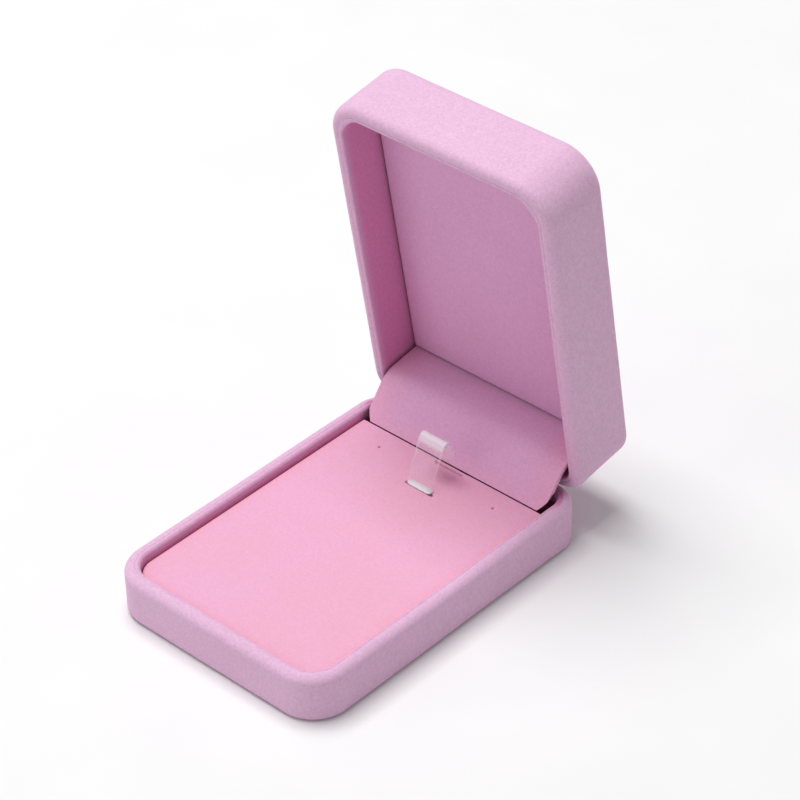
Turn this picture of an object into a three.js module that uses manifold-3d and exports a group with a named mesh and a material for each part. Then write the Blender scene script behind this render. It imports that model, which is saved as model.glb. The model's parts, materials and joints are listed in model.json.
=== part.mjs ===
// Velvet-covered jewelry box for a pendant: a shallow base with a pad and a clear strap,
// and a deeper hinged lid, shown open.
// Millimetres, +X right, +Y towards the hinge, +Z up.
// Origin: centre of the underside that the box stands on.

import * as THREE from 'three';
import { mergeVertices } from 'three/addons/utils/BufferGeometryUtils.js';
import Module from 'manifold-3d';

const wasm = await Module();
wasm.setup();

// ---------------------------------------------------------------- driving dimensions

// Overall sizes
const boxWidth = 65;
const boxDepth = 91;
const baseHeight = 12.3;
const lidHeight = 18.4;
const cornerRadius = 9.7;

// Opening
const rimGap = 0.3; // between the two rims when shut
const lidOpening = 80.7; // degrees from shut
const hingeInset = 1.2; // hinge axis in from the rear face

// Wall, from the outside in
const coverThickness = 0.5;
const shellThickness = 1.4;
const boardThickness = 0.7;
const glueGap = 0.2; // between two layers that are glued
const bendAllowance = 0.05; // extra room where a layer goes round the corners

// Edges
const rimRounding = 2.1;
const lipRounding = 0.45;
const lidTopRounding = 2.3;
const baseEdgeRounding = 1.5;
const edgeSteps = 3; // facets on a rounded edge
const cornerSteps = 6; // facets on a plan corner

// Base floor and underside
const turnUnder = 6; // how far the velvet is turned in under the base
const undersideThickness = 0.5;
const undersideProud = 0.05; // the underside sheet stands this far below the velvet
const baseFloor = 0.8; // thickness of the shell's floor

// Velvet turned down inside the rims
const baseReturn = 3.3;
const rearReturn = 1.1;

// Pad in the base
const padDrop = 2.1; // pad face below the rim
const padClearance = 0.3; // pad edge to the wall
const padCoverThickness = 0.5;
const padSkirt = 3; // how far the pad's velvet is drawn down round its edge
const padFoamDepth = 2.3;
const padBoardThickness = 0.7;
const hingeChamber = 10.6; // pad's rear edge in front of the rear face
const padRearRadius = 1;

// Strap that holds the pendant
const strapWidth = 7.6;
const strapThickness = 0.4;
const strapRise = 11.6; // top of the strap above the pad
const strapBackSetback = 0.9; // rear end in from the pad's rear edge
const strapSpan = 10; // between the two ends, along the pad
const strapTopSetback = 5.3; // top of the loop in from the pad's rear edge
const strapTopRadius = 1.3;
const strapTail = 2.6; // how far each end goes down into the pad
const strapSlotClearance = 0.45;

// Holes for the two ends of a chain
const pinHoleX = 17.8;
const pinHoleSetback = 5.6; // in from the pad's rear edge
const pinHoleRadius = 0.6;

// Panel in the lid
const lidRecess = 10.85; // panel face in from the rim
const panelCoverThickness = 0.5;
const panelSkirt = 1.6;
const panelBoardThickness = 1;
const panelEdgeClearance = 0.25;

// Two-part cover over the hinge: an upper leg fixed in the lid and a lower leg that folds
const hingeCoverSetback = 8.9; // visible face in front of the rear face
const hingeCoverHalfWidth = 27.7;
const hingeCoverFabric = 0.4;
const hingeCoverBoard = 0.5;
const creaseClearance = 0.6;
const flapEndClearance = 0.5; // lower leg's free end to the pad's rear corner
const flapPadGap = 0.35; // measured along Y
const flapCorner = 4; // chamfer at the free end's corners
const upperLegBehindPanel = 1.5;

// Steel hinge
const pinRadius = 0.6;
const knuckleClearance = 0.2;
const knuckleWall = 0.35;
const leafThickness = 0.45;
const leafSetback = 0.15; // leaf plate clear of the other leaf's knuckles
const leafHeight = 6;
const leafHalfLength = 19;
const leafEdgeGap = 0.2; // edge of each leaf plate to the plane through the pin
const knuckleGap = 0.3;
const middleGapHalf = 3; // half of the space left for the spring
const knuckleSplit = 11; // where the base's and lid's knuckles meet
const notchMargin = 3; // rims are cut away this far past each end of the hinge
const notchDrop = 0.2; // cut rims clear the knuckles by this much
const rivetX = 14.5;
const rivetDrop = 3.9; // rivet centres from the pin's plane
const rivetRadius = 0.7;
const rivetHeadRadius = 1.4;
const rivetHeadThickness = 0.5;
const rivetClearance = 0.2;

// Torsion spring on the pin
const springWire = 0.36;
const springTurns = 4;
const springClearance = 0.15;

// ---------------------------------------------------------------- derived places

const halfWidth = boxWidth / 2;
const halfDepth = boxDepth / 2;
const baseRim = baseHeight;
const lidRim = baseHeight + rimGap;
const lidTop = lidRim + lidHeight;
const axisY = halfDepth - hingeInset;
const axisZ = baseHeight + rimGap / 2;

const shellOuter = coverThickness + glueGap;
const shellInner = shellOuter + shellThickness;
const boardOuter = shellInner + glueGap;
const boardInner = boardOuter + boardThickness;
const returnOuter = boardInner + glueGap;
const returnInner = returnOuter + coverThickness;
const chamberFrontY = halfDepth - hingeChamber;
const rearReturnFromY = chamberFrontY - 0.4;
const strapBackY = chamberFrontY - strapBackSetback;
const strapFrontY = strapBackY - strapSpan;
const strapTopY = chamberFrontY - strapTopSetback;
const pinHoleY = chamberFrontY - pinHoleSetback;

const coverUnderside = undersideProud;
const shellUnderside = coverUnderside + coverThickness + glueGap;
const chamberFloor = shellUnderside + baseFloor;
const shellRim = baseRim - coverThickness - glueGap;
const padTop = baseRim - padDrop;
const padBottom = padTop - padSkirt;
const lidShellRim = lidRim + coverThickness + glueGap;
const lidCeiling = lidTop - shellInner;
const panelFace = lidRim + lidRecess;

const knuckleBore = pinRadius + knuckleClearance;
const knuckleRadius = knuckleBore + knuckleWall;
const leafBackY = axisY - knuckleRadius - leafSetback;
const leafFrontY = leafBackY - leafThickness;
const notchHalfLength = leafHalfLength + notchMargin;
const notchReach = knuckleRadius + notchDrop;

const rad = THREE.MathUtils.degToRad;

/** A point of the shut lid, given as [y, z], after the lid has swung open. */
function swungOpen([y, z]) {
  const angle = rad(lidOpening);
  const dy = y - axisY;
  const dz = z - axisZ;
  return [
    axisY + dy * Math.cos(angle) + dz * Math.sin(angle),
    axisZ - dy * Math.sin(angle) + dz * Math.cos(angle),
  ];
}

// Crease of the hinge cover: shut place in the lid, and open place
const creaseShut = [halfDepth - hingeCoverSetback, axisZ];
const creaseOpen = swungOpen(creaseShut);

// ---------------------------------------------------------------- materials

function finish(color, roughness, metalness = 0, more = {}) {
  return new THREE.MeshStandardMaterial({ color, roughness, metalness, ...more });
}

const materials = {
  velvet: finish(0xd9aecb, 0.95),
  padVelvet: finish(0xe4b4d0, 0.95),
  plastic: finish(0xe6e1da, 0.5),
  card: finish(0xb9a78c, 0.9),
  foam: finish(0xf2efe6, 0.95),
  steel: finish(0xb8bbc0, 0.35, 1),
  clearPlastic: finish(0xf4f6f8, 0.15, 0, { transparent: true, opacity: 0.35 }),
};

// ---------------------------------------------------------------- shape helpers

/** A closed three.js geometry as a manifold-3d solid. */
function solidOf(geometry) {
  const bare = geometry.clone();
  bare.deleteAttribute('normal');
  bare.deleteAttribute('uv');
  const merged = mergeVertices(bare, 1e-4);
  return new wasm.Manifold(new wasm.Mesh({
    numProp: 3,
    vertProperties: new Float32Array(merged.attributes.position.array),
    triVerts: new Uint32Array(merged.index.array),
  }));
}

/** A manifold-3d solid as a three.js geometry. */
function geometryOf(solid) {
  const mesh = solid.getMesh();
  const geometry = new THREE.BufferGeometry();
  geometry.setAttribute('position', new THREE.BufferAttribute(mesh.vertProperties, 3));
  geometry.setIndex(new THREE.BufferAttribute(mesh.triVerts, 1));
  geometry.computeVertexNormals();
  return geometry;
}

/** The body with every tool in the list cut out of it. */
function cutBy(geometry, tools) {
  return geometryOf(tools.reduce((rest, tool) => rest.subtract(solidOf(tool)), solidOf(geometry)));
}

/** The body with every other body in the list joined to it. */
function joinedTo(geometry, others) {
  return geometryOf(others.reduce((sum, other) => sum.add(solidOf(other)), solidOf(geometry)));
}

/** A box between two corners. */
function boxBetween(x0, x1, y0, y1, z0, z1) {
  const box = new THREE.BoxGeometry(x1 - x0, y1 - y0, z1 - z0);
  return box.translate((x0 + x1) / 2, (y0 + y1) / 2, (z0 + z1) / 2);
}

/** The box's plan outline moved inwards by an inset, at one height, anticlockwise from above. */
function outlineAt([inset, z]) {
  const radius = cornerRadius - inset;
  const points = [];
  for (let corner = 0; corner < 4; corner += 1) {
    const sx = corner === 0 || corner === 3 ? 1 : -1;
    const sy = corner < 2 ? 1 : -1;
    for (let step = 0; step <= cornerSteps; step += 1) {
      const angle = (corner + step / cornerSteps) * Math.PI / 2;
      points.push([
        sx * (halfWidth - cornerRadius) + radius * Math.cos(angle),
        sy * (halfDepth - cornerRadius) + radius * Math.sin(angle),
        z,
      ]);
    }
  }
  return points;
}

/**
 * A closed body through a list of sections, each [inset, z] of the plan outline.
 * The list runs outwards and up on the outside of the body. A ring closes on its first
 * section; any other body is closed by a flat face over its first and last sections.
 */
function through(sections, ring = false) {
  const loops = sections.map(outlineAt);
  const count = loops[0].length;
  const index = [];
  const spans = ring ? loops.length : loops.length - 1;
  for (let i = 0; i < spans; i += 1) {
    const low = i * count;
    const high = ((i + 1) % loops.length) * count;
    for (let j = 0; j < count; j += 1) {
      const next = (j + 1) % count;
      index.push(low + j, low + next, high + next, low + j, high + next, high + j);
    }
  }
  if (!ring) {
    const last = (loops.length - 1) * count;
    for (let j = 1; j < count - 1; j += 1) {
      index.push(0, j + 1, j, last, last + j, last + j + 1);
    }
  }
  const geometry = new THREE.BufferGeometry();
  geometry.setAttribute('position', new THREE.Float32BufferAttribute(loops.flat(2), 3));
  geometry.setIndex(index);
  geometry.computeVertexNormals();
  return geometry;
}

/**
 * Sections round an edge: an arc about [inset, z], from one angle to another in degrees,
 * where 0 points out of the box, 90 up, -90 down and 180 into the box.
 */
function edgeArc(inset, z, radius, from, to) {
  const arc = [];
  for (let step = 0; step <= edgeSteps; step += 1) {
    const angle = rad(from + (to - from) * step / edgeSteps);
    arc.push([inset - radius * Math.cos(angle), z + radius * Math.sin(angle)]);
  }
  return arc;
}

/** A plate with the box's front corners and a straight rear edge, between two heights. */
function frontPlate(inset, rearY, z0, z1) {
  const radius = cornerRadius - inset;
  const x = halfWidth - inset;
  const front = -(halfDepth - inset);
  const shape = new THREE.Shape();
  shape.moveTo(-x + radius, front);
  shape.lineTo(x - radius, front);
  shape.absarc(x - radius, front + radius, radius, -Math.PI / 2, 0, false);
  shape.absarc(x - padRearRadius, rearY - padRearRadius, padRearRadius, 0, Math.PI / 2, false);
  shape.absarc(-x + padRearRadius, rearY - padRearRadius, padRearRadius, Math.PI / 2, Math.PI, false);
  shape.absarc(-x + radius, front + radius, radius, Math.PI, Math.PI * 1.5, false);
  const plate = new THREE.ExtrudeGeometry(shape, {
    depth: z1 - z0, bevelEnabled: false, curveSegments: cornerSteps,
  });
  return plate.translate(0, 0, z0);
}

/** An outline of [y, z] points carried straight along X. */
function alongX(outline, x0, x1) {
  const shape = new THREE.Shape(outline.map(([y, z]) => new THREE.Vector2(y, z)));
  const bar = new THREE.ExtrudeGeometry(shape, { depth: x1 - x0, bevelEnabled: false });
  const axes = new THREE.Matrix4().makeBasis(
    new THREE.Vector3(0, 1, 0), new THREE.Vector3(0, 0, 1), new THREE.Vector3(1, 0, 0),
  );
  return bar.applyMatrix4(axes).translate(x0, 0, 0);
}

/** A round bar along X about a centre [y, z]. */
function roundAlongX(radius, x0, x1, [y, z], sides) {
  const bar = new THREE.CylinderGeometry(radius, radius, x1 - x0, sides);
  return bar.rotateZ(Math.PI / 2).translate((x0 + x1) / 2, y, z);
}

/** A round bar along Y about a centre [x, z]. */
function roundAlongY(radius, y0, y1, [x, z], sides) {
  const bar = new THREE.CylinderGeometry(radius, radius, y1 - y0, sides);
  return bar.translate(x, (y0 + y1) / 2, z);
}

/** The closed outline of a thin band that follows a path of [y, z] points. */
function bandOutline(path, thickness) {
  const points = path.map(([y, z]) => new THREE.Vector2(y, z));
  const side = (sign) => points.map((point, i) => {
    const before = points[Math.max(i - 1, 0)];
    const after = points[Math.min(i + 1, points.length - 1)];
    const along = after.clone().sub(before).normalize();
    const across = new THREE.Vector2(-along.y, along.x).multiplyScalar(sign * thickness / 2);
    return [point.x + across.x, point.y + across.y];
  });
  return [...side(-1), ...side(1).reverse()];
}

/** The outline of a plate behind a line from a to b, on the side away from the viewer. */
function slabOutline([ay, az], [by, bz], from, to, near, far) {
  const along = new THREE.Vector2(by - ay, bz - az).normalize();
  const behind = new THREE.Vector2(-along.y, along.x);
  const at = (distance, depth) => [
    ay + along.x * distance + behind.x * depth,
    az + along.y * distance + behind.y * depth,
  ];
  return [at(from, near), at(to, near), at(to, far), at(from, far)];
}

/** Everything behind the pad and the panel, where the hinge is. */
function behindPad() {
  return boxBetween(-boxWidth, boxWidth, rearReturnFromY, boxDepth, -lidTop, 2 * lidTop);
}

/**
 * The part of a skin round the rim that is cut away over the length of the hinge: all of it
 * between two heights, and the velvet turned down inside as far as an inner height.
 */
function hingeNotches(z0, z1, innerZ) {
  const [low, high] = [Math.min(z0, innerZ), Math.max(z1, innerZ)];
  const front = halfDepth - returnInner - 1;
  return [
    boxBetween(-notchHalfLength, notchHalfLength, front, boxDepth, z0, z1),
    boxBetween(-notchHalfLength, notchHalfLength, front, halfDepth - boardInner, low, high),
  ];
}

// ---------------------------------------------------------------- base: shell and covers

/** Velvet skin: turned under the base, up the wall, over the rim and down inside. */
function baseCover() {
  const t = coverThickness;
  const edgeZ = coverUnderside + baseEdgeRounding;
  const rimZ = baseRim - rimRounding;
  const lipZ = baseRim - lipRounding;
  const skin = through([
    [turnUnder, coverUnderside],
    ...edgeArc(baseEdgeRounding, edgeZ, baseEdgeRounding, -90, 0),
    ...edgeArc(rimRounding, rimZ, rimRounding, 0, 90),
    ...edgeArc(returnInner - lipRounding, lipZ, lipRounding, 90, 180),
    [returnInner, baseRim - baseReturn],
    [returnOuter, baseRim - baseReturn],
    [returnOuter, baseRim - t],
    ...edgeArc(rimRounding, rimZ, rimRounding - t, 90, 0),
    ...edgeArc(baseEdgeRounding, edgeZ, baseEdgeRounding - t, 0, -90),
    [turnUnder, coverUnderside + t],
  ], true);
  const belowReturn = through([[boardInner, chamberFloor], [boardInner, baseRim - rearReturn]]);
  const rearCut = geometryOf(solidOf(belowReturn).intersect(solidOf(behindPad())));
  const notches = hingeNotches(axisZ - notchReach, baseRim + 1, chamberFloor);
  return cutBy(skin, [rearCut, ...notches]);
}

/** Sheet glued over the turned-under velvet's edge; the box stands on it. */
function undersideSheet() {
  const edge = turnUnder + glueGap;
  return through([[edge, 0], [edge, undersideThickness]]);
}

/** Moulded tray that carries the base. */
function baseShell() {
  const edgeZ = coverUnderside + baseEdgeRounding;
  const rimZ = baseRim - rimRounding;
  const tray = through([
    ...edgeArc(baseEdgeRounding, edgeZ, baseEdgeRounding - shellOuter, -90, 0),
    ...edgeArc(rimRounding, rimZ, rimRounding - shellOuter, 0, 90),
    [shellInner + bendAllowance, shellRim],
    [shellInner + bendAllowance, chamberFloor],
  ]);
  const notch = boxBetween(
    -notchHalfLength, notchHalfLength, halfDepth - boardInner, boxDepth,
    axisZ - notchReach - notchDrop, baseRim,
  );
  return cutBy(tray, [notch, ...rivetHoles(axisZ - rivetDrop)]);
}

/** Card strip that stiffens the base's front and side walls. */
function baseWallBoard() {
  const foot = chamberFloor + glueGap;
  const strip = through([
    [boardOuter + bendAllowance, foot],
    [boardOuter + bendAllowance, shellRim],
    [boardInner, shellRim],
    [boardInner, foot],
  ], true);
  return cutBy(strip, [behindPad()]);
}

// ---------------------------------------------------------------- base: pad and strap

/** Slots that the strap's two ends pass through, cut through the whole pad. */
function strapSlots() {
  const reach = strapWidth / 2 + strapSlotClearance;
  const half = strapThickness / 2 + strapSlotClearance;
  const slotAt = (y0, y1) => boxBetween(-reach, reach, y0, y1, 0, baseHeight);
  return [
    slotAt(strapFrontY - half, strapFrontY + half),
    slotAt(strapBackY - half, chamberFrontY + 1),
  ];
}

/** Two small round holes in the pad for the ends of a chain. */
function pinHoles() {
  return [-pinHoleX, pinHoleX].map((x) => {
    const hole = new THREE.CylinderGeometry(pinHoleRadius, pinHoleRadius, baseHeight * 2, 10);
    return hole.rotateX(Math.PI / 2).translate(x, pinHoleY, 0);
  });
}

/** Velvet drawn over the pad and down its edge. */
function padCover() {
  const inset = returnInner + padClearance;
  const outside = frontPlate(inset, chamberFrontY, padBottom, padTop);
  const hollow = frontPlate(
    inset + padCoverThickness, chamberFrontY - padCoverThickness,
    padBottom - 1, padTop - padCoverThickness,
  );
  return cutBy(outside, [hollow, ...strapSlots(), ...pinHoles()]);
}

/** Foam under the pad's velvet. */
function padFoam() {
  const top = padTop - padCoverThickness - glueGap;
  const inset = returnInner + padClearance + padCoverThickness + glueGap;
  const rear = chamberFrontY - padCoverThickness - glueGap;
  const foam = frontPlate(inset, rear, top - padFoamDepth + glueGap, top);
  return cutBy(foam, [...strapSlots(), ...pinHoles()]);
}

/** Card that the pad is made up on. */
function padBoard() {
  const top = padBottom - glueGap;
  const inset = returnInner + padClearance;
  const card = frontPlate(inset, chamberFrontY, top - padBoardThickness, top);
  return cutBy(card, strapSlots());
}

/** Foam block that holds the pad at its height. */
function padSupport() {
  const top = padBottom - 2 * glueGap - padBoardThickness;
  const inset = returnInner + padClearance;
  return frontPlate(inset, chamberFrontY, chamberFloor + glueGap, top);
}

/** Clear strip bent into a loop: up from the pad's rear edge, over, and down into a slot. */
function pendantStrap() {
  const foot = padTop - strapTail;
  const topZ = padTop + strapRise;
  const bendZ = topZ - strapTopRadius;
  const back = [strapBackY, padTop];
  const front = [strapFrontY, padTop];
  const bend = [];
  const bendSteps = 8;
  for (let step = 0; step <= bendSteps; step += 1) {
    const angle = rad(20 + 125 * step / bendSteps);
    bend.push([
      strapTopY + strapTopRadius * Math.cos(angle),
      bendZ + strapTopRadius * Math.sin(angle),
    ]);
  }
  const path = [[strapBackY, foot], back, ...bend, front, [strapFrontY, foot]];
  return alongX(bandOutline(path, strapThickness), -strapWidth / 2, strapWidth / 2);
}

// ---------------------------------------------------------------- hinge

/** Holes for the rivets through the rear wall and the leaf, at one height. */
function rivetHoles(z) {
  return [-rivetX, rivetX].map((x) => roundAlongY(
    rivetRadius + rivetClearance, leafFrontY - 1, halfDepth, [x, z], 12,
  ));
}

/** The lengths of the pin that one leaf's knuckles wrap, as [x0, x1]. */
function knuckleSpans(leaf) {
  const spans = {
    base: [[knuckleSplit + knuckleGap / 2, leafHalfLength]],
    lid: [[middleGapHalf, knuckleSplit - knuckleGap / 2]],
  };
  return spans[leaf].flatMap(([x0, x1]) => [[x0, x1], [-x1, -x0]]);
}

/** A steel hinge leaf: a riveted plate with knuckles rolled round the pin. */
function hingeLeaf(leaf) {
  const up = leaf === 'lid' ? 1 : -1;
  const near = axisZ + up * leafEdgeGap;
  const far = axisZ + up * leafHeight;
  const plate = boxBetween(
    -leafHalfLength, leafHalfLength, leafFrontY, leafBackY,
    Math.min(near, far), Math.max(near, far),
  );
  const neckTo = axisY - (knuckleBore + knuckleRadius) / 2;
  const neckLow = axisZ + up * leafEdgeGap;
  const neckHigh = axisZ + up * (knuckleBore - 0.05);
  const parts = knuckleSpans(leaf).flatMap(([x0, x1]) => [
    roundAlongX(knuckleRadius, x0, x1, [axisY, axisZ], 16),
    boxBetween(
      x0, x1, leafFrontY, neckTo, Math.min(neckLow, neckHigh), Math.max(neckLow, neckHigh),
    ),
  ]);
  const bore = roundAlongX(knuckleBore, -boxWidth, boxWidth, [axisY, axisZ], 16);
  const rivetZ = axisZ + up * rivetDrop;
  return cutBy(joinedTo(plate, parts), [bore, ...rivetHoles(rivetZ)]);
}

/** Pin that both leaves turn on. */
function hingePin() {
  const reach = leafHalfLength + knuckleGap;
  return roundAlongX(pinRadius, -reach, reach, [axisY, axisZ], 12);
}

/** A helix about the pin. */
class SpringPath extends THREE.Curve {
  getPoint(t, target = new THREE.Vector3()) {
    const radius = pinRadius + springClearance + springWire / 2;
    const reach = middleGapHalf - knuckleGap - springWire;
    const angle = t * springTurns * 2 * Math.PI;
    return target.set(
      reach * (2 * t - 1),
      axisY + radius * Math.cos(angle),
      axisZ + radius * Math.sin(angle),
    );
  }
}

/** Small torsion spring wound on the middle of the pin. */
function hingeSpring() {
  const sides = 6;
  const section = new THREE.Shape();
  for (let i = 0; i <= sides; i += 1) {
    const angle = i / sides * 2 * Math.PI;
    const x = springWire / 2 * Math.cos(angle);
    const y = springWire / 2 * Math.sin(angle);
    if (i === 0) section.moveTo(x, y);
    else section.lineTo(x, y);
  }
  return new THREE.ExtrudeGeometry(section, {
    steps: springTurns * 12, extrudePath: new SpringPath(), bevelEnabled: false,
  });
}

/** Rivet through a leaf and the rear wall; its head is on the leaf. */
function rivet(x, z) {
  const shankEnd = halfDepth - shellOuter - glueGap / 2;
  const headFace = leafFrontY - 0.05;
  const crown = headFace - rivetHeadThickness;
  const outline = [
    [0, crown], [rivetHeadRadius * 0.6, crown], [rivetHeadRadius, headFace - 0.15],
    [rivetHeadRadius, headFace], [rivetRadius, headFace], [rivetRadius, shankEnd], [0, shankEnd],
  ].map(([radius, y]) => new THREE.Vector2(radius, y));
  return new THREE.LatheGeometry(outline, 14).translate(x, 0, z);
}

// ---------------------------------------------------------------- lid, drawn shut

/** Velvet skin of the lid: over the top, down the wall, round the rim and up inside. */
function lidCover() {
  const t = coverThickness;
  const topZ = lidTop - lidTopRounding;
  const rimZ = lidRim + rimRounding;
  const lipZ = lidRim + lipRounding;
  const returnEnd = panelFace + panelSkirt;
  const skin = through([
    ...edgeArc(lidTopRounding, topZ, lidTopRounding - t, 90, 0),
    ...edgeArc(rimRounding, rimZ, rimRounding - t, 0, -90),
    [returnOuter, lidRim + t],
    [returnOuter, returnEnd],
    [returnInner, returnEnd],
    ...edgeArc(returnInner - lipRounding, lipZ, lipRounding, 180, 270),
    ...edgeArc(rimRounding, rimZ, rimRounding, -90, 0),
    ...edgeArc(lidTopRounding, topZ, lidTopRounding, 0, 90),
  ]);
  const aboveReturn = through([[boardInner, lidRim + rearReturn], [boardInner, lidCeiling]]);
  const rearCut = geometryOf(solidOf(aboveReturn).intersect(solidOf(behindPad())));
  const notches = hingeNotches(lidRim - 1, axisZ + notchReach, lidCeiling);
  return cutBy(skin, [rearCut, ...notches]);
}

/** Moulded shell that carries the lid. */
function lidShell() {
  const inner = shellInner + bendAllowance;
  const shell = through([
    [inner, lidCeiling],
    [inner, lidShellRim],
    ...edgeArc(rimRounding, lidRim + rimRounding, rimRounding - shellOuter, -90, 0),
    ...edgeArc(lidTopRounding, lidTop - lidTopRounding, lidTopRounding - shellOuter, 0, 90),
  ]);
  const notch = boxBetween(
    -notchHalfLength, notchHalfLength, halfDepth - boardInner, boxDepth,
    lidRim, axisZ + notchReach + notchDrop,
  );
  return cutBy(shell, [notch, ...rivetHoles(axisZ + rivetDrop)]);
}

/** Card strip that stiffens the lid's front and side walls. */
function lidWallBoard() {
  const head = lidCeiling - glueGap;
  const strip = through([
    [boardOuter + bendAllowance, lidShellRim],
    [boardOuter + bendAllowance, head],
    [boardInner, head],
    [boardInner, lidShellRim],
  ], true);
  return cutBy(strip, [behindPad()]);
}

/** Velvet of the lid's inner panel, turned back round the panel's edge. */
function lidPanelCover() {
  const inset = returnInner + panelEdgeClearance;
  const rear = creaseShut[0] - padClearance;
  const outside = frontPlate(inset, rear, panelFace, panelFace + panelSkirt);
  const hollow = frontPlate(
    inset + panelCoverThickness, rear - panelCoverThickness,
    panelFace + panelCoverThickness, lidTop,
  );
  return cutBy(outside, [hollow]);
}

/** Card that the lid's inner panel is made up on. */
function lidPanelBoard() {
  const inset = returnInner + panelEdgeClearance + panelCoverThickness + glueGap;
  const rear = creaseShut[0] - padClearance - panelCoverThickness - glueGap;
  const face = panelFace + panelCoverThickness + glueGap;
  return frontPlate(inset, rear, face, face + panelBoardThickness);
}

/** Foam block between the lid's panel and its top. */
function lidPanelFoam() {
  const inset = returnInner + panelEdgeClearance + panelCoverThickness + glueGap;
  const rear = creaseShut[0] - padClearance - panelCoverThickness - glueGap;
  const face = panelFace + panelCoverThickness + panelBoardThickness + 2 * glueGap;
  return frontPlate(inset, rear, face, lidCeiling - glueGap);
}

/** Upper leg of the hinge cover, between two depths behind its visible face. */
function upperLeg(near, far) {
  const top = [creaseShut[0], panelFace + upperLegBehindPanel];
  const length = top[1] - creaseShut[1];
  const outline = slabOutline(top, creaseShut, 0, length - creaseClearance, near, far);
  return alongX(outline, -hingeCoverHalfWidth, hingeCoverHalfWidth);
}

// ---------------------------------------------------------------- lower leg, drawn at rest

/**
 * Lower leg of the hinge cover, between two depths behind its visible face. It is drawn
 * where it rests while the lid is open: from the crease down to the pad's rear edge.
 */
function lowerLeg(near, far) {
  const end = [chamberFrontY + flapPadGap, padTop];
  const length = Math.hypot(end[0] - creaseOpen[0], end[1] - creaseOpen[1]) - flapEndClearance;
  const outline = slabOutline(creaseOpen, end, creaseClearance, length, near, far);
  const leg = alongX(outline, -hingeCoverHalfWidth, hingeCoverHalfWidth);
  const along = Math.atan2(end[1] - creaseOpen[1], end[0] - creaseOpen[0]);
  const corners = [-1, 1].map((side) => {
    const corner = new THREE.BoxGeometry(flapCorner * Math.SQRT2, flapCorner * Math.SQRT2, baseHeight);
    return corner
      .rotateZ(Math.PI / 4)
      .translate(0, length, 0)
      .applyMatrix4(new THREE.Matrix4().makeBasis(
        new THREE.Vector3(1, 0, 0),
        new THREE.Vector3(0, Math.cos(along), Math.sin(along)),
        new THREE.Vector3(0, -Math.sin(along), Math.cos(along)),
      ))
      .translate(side * hingeCoverHalfWidth, creaseOpen[0], creaseOpen[1]);
  });
  return cutBy(leg, corners);
}

// ---------------------------------------------------------------- assembly

const model = new THREE.Group();
model.name = 'jewelry_box';

/** Adds one named piece to a group. */
function addPiece(group, name, geometry, material) {
  const mesh = new THREE.Mesh(geometry, material);
  mesh.name = name;
  group.add(mesh);
}

/** Adds a left and a right rivet to a group. */
function addRivets(group, name, z) {
  addPiece(group, `${name}_left`, rivet(-rivetX, z), materials.steel);
  addPiece(group, `${name}_right`, rivet(rivetX, z), materials.steel);
}

addPiece(model, 'base_cover', baseCover(), materials.velvet);
addPiece(model, 'underside_sheet', undersideSheet(), materials.velvet);
addPiece(model, 'base_shell', baseShell(), materials.plastic);
addPiece(model, 'base_wall_board', baseWallBoard(), materials.card);
addPiece(model, 'pad_cover', padCover(), materials.padVelvet);
addPiece(model, 'pad_foam', padFoam(), materials.foam);
addPiece(model, 'pad_board', padBoard(), materials.card);
addPiece(model, 'pad_support', padSupport(), materials.foam);
addPiece(model, 'pendant_strap', pendantStrap(), materials.clearPlastic);
addPiece(model, 'hinge_leaf_base', hingeLeaf('base'), materials.steel);
addPiece(model, 'hinge_pin', hingePin(), materials.steel);
addPiece(model, 'hinge_spring', hingeSpring(), materials.steel);
addRivets(model, 'base_rivet', axisZ - rivetDrop);

// The lid's pieces are drawn shut, then turned back about the hinge pin.
const lid = new THREE.Group();
const lidPieces = new THREE.Group();
lidPieces.position.set(0, -axisY, -axisZ);
lid.position.set(0, axisY, axisZ);
lid.rotation.x = -rad(lidOpening);
lid.add(lidPieces);
model.add(lid);

const fabricDepth = hingeCoverFabric + glueGap;
addPiece(lidPieces, 'lid_cover', lidCover(), materials.velvet);
addPiece(lidPieces, 'lid_shell', lidShell(), materials.plastic);
addPiece(lidPieces, 'lid_wall_board', lidWallBoard(), materials.card);
addPiece(lidPieces, 'lid_panel_cover', lidPanelCover(), materials.padVelvet);
addPiece(lidPieces, 'lid_panel_board', lidPanelBoard(), materials.card);
addPiece(lidPieces, 'lid_panel_foam', lidPanelFoam(), materials.foam);
addPiece(lidPieces, 'hinge_cover_fabric', upperLeg(0, hingeCoverFabric), materials.velvet);
addPiece(
  lidPieces, 'hinge_cover_board', upperLeg(fabricDepth, fabricDepth + hingeCoverBoard),
  materials.card,
);
addPiece(lidPieces, 'hinge_leaf_lid', hingeLeaf('lid'), materials.steel);
addRivets(lidPieces, 'lid_rivet', axisZ + rivetDrop);

addPiece(model, 'flap_fabric', lowerLeg(0, hingeCoverFabric), materials.velvet);
addPiece(
  model, 'flap_board', lowerLeg(fabricDepth, fabricDepth + hingeCoverBoard), materials.card,
);

export default model;
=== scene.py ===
"""A velvet pendant box, open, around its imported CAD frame.

The box is a shallow base with a padded floor and a clear strap, and a deeper lid on a rear
hinge. Both halves are moulded trays wrapped in short-pile velvet. The lid's pieces are
shaped as if it were shut, which keeps their formulas simple, and are then swung open about
the hinge pin. Lengths are in metres; MM turns millimetres into metres.
"""

from __future__ import annotations

import json
import logging
import math
from dataclasses import dataclass
from enum import Enum
from typing import Sequence

import bpy
import numpy as np
from mathutils import Matrix, Vector

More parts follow.
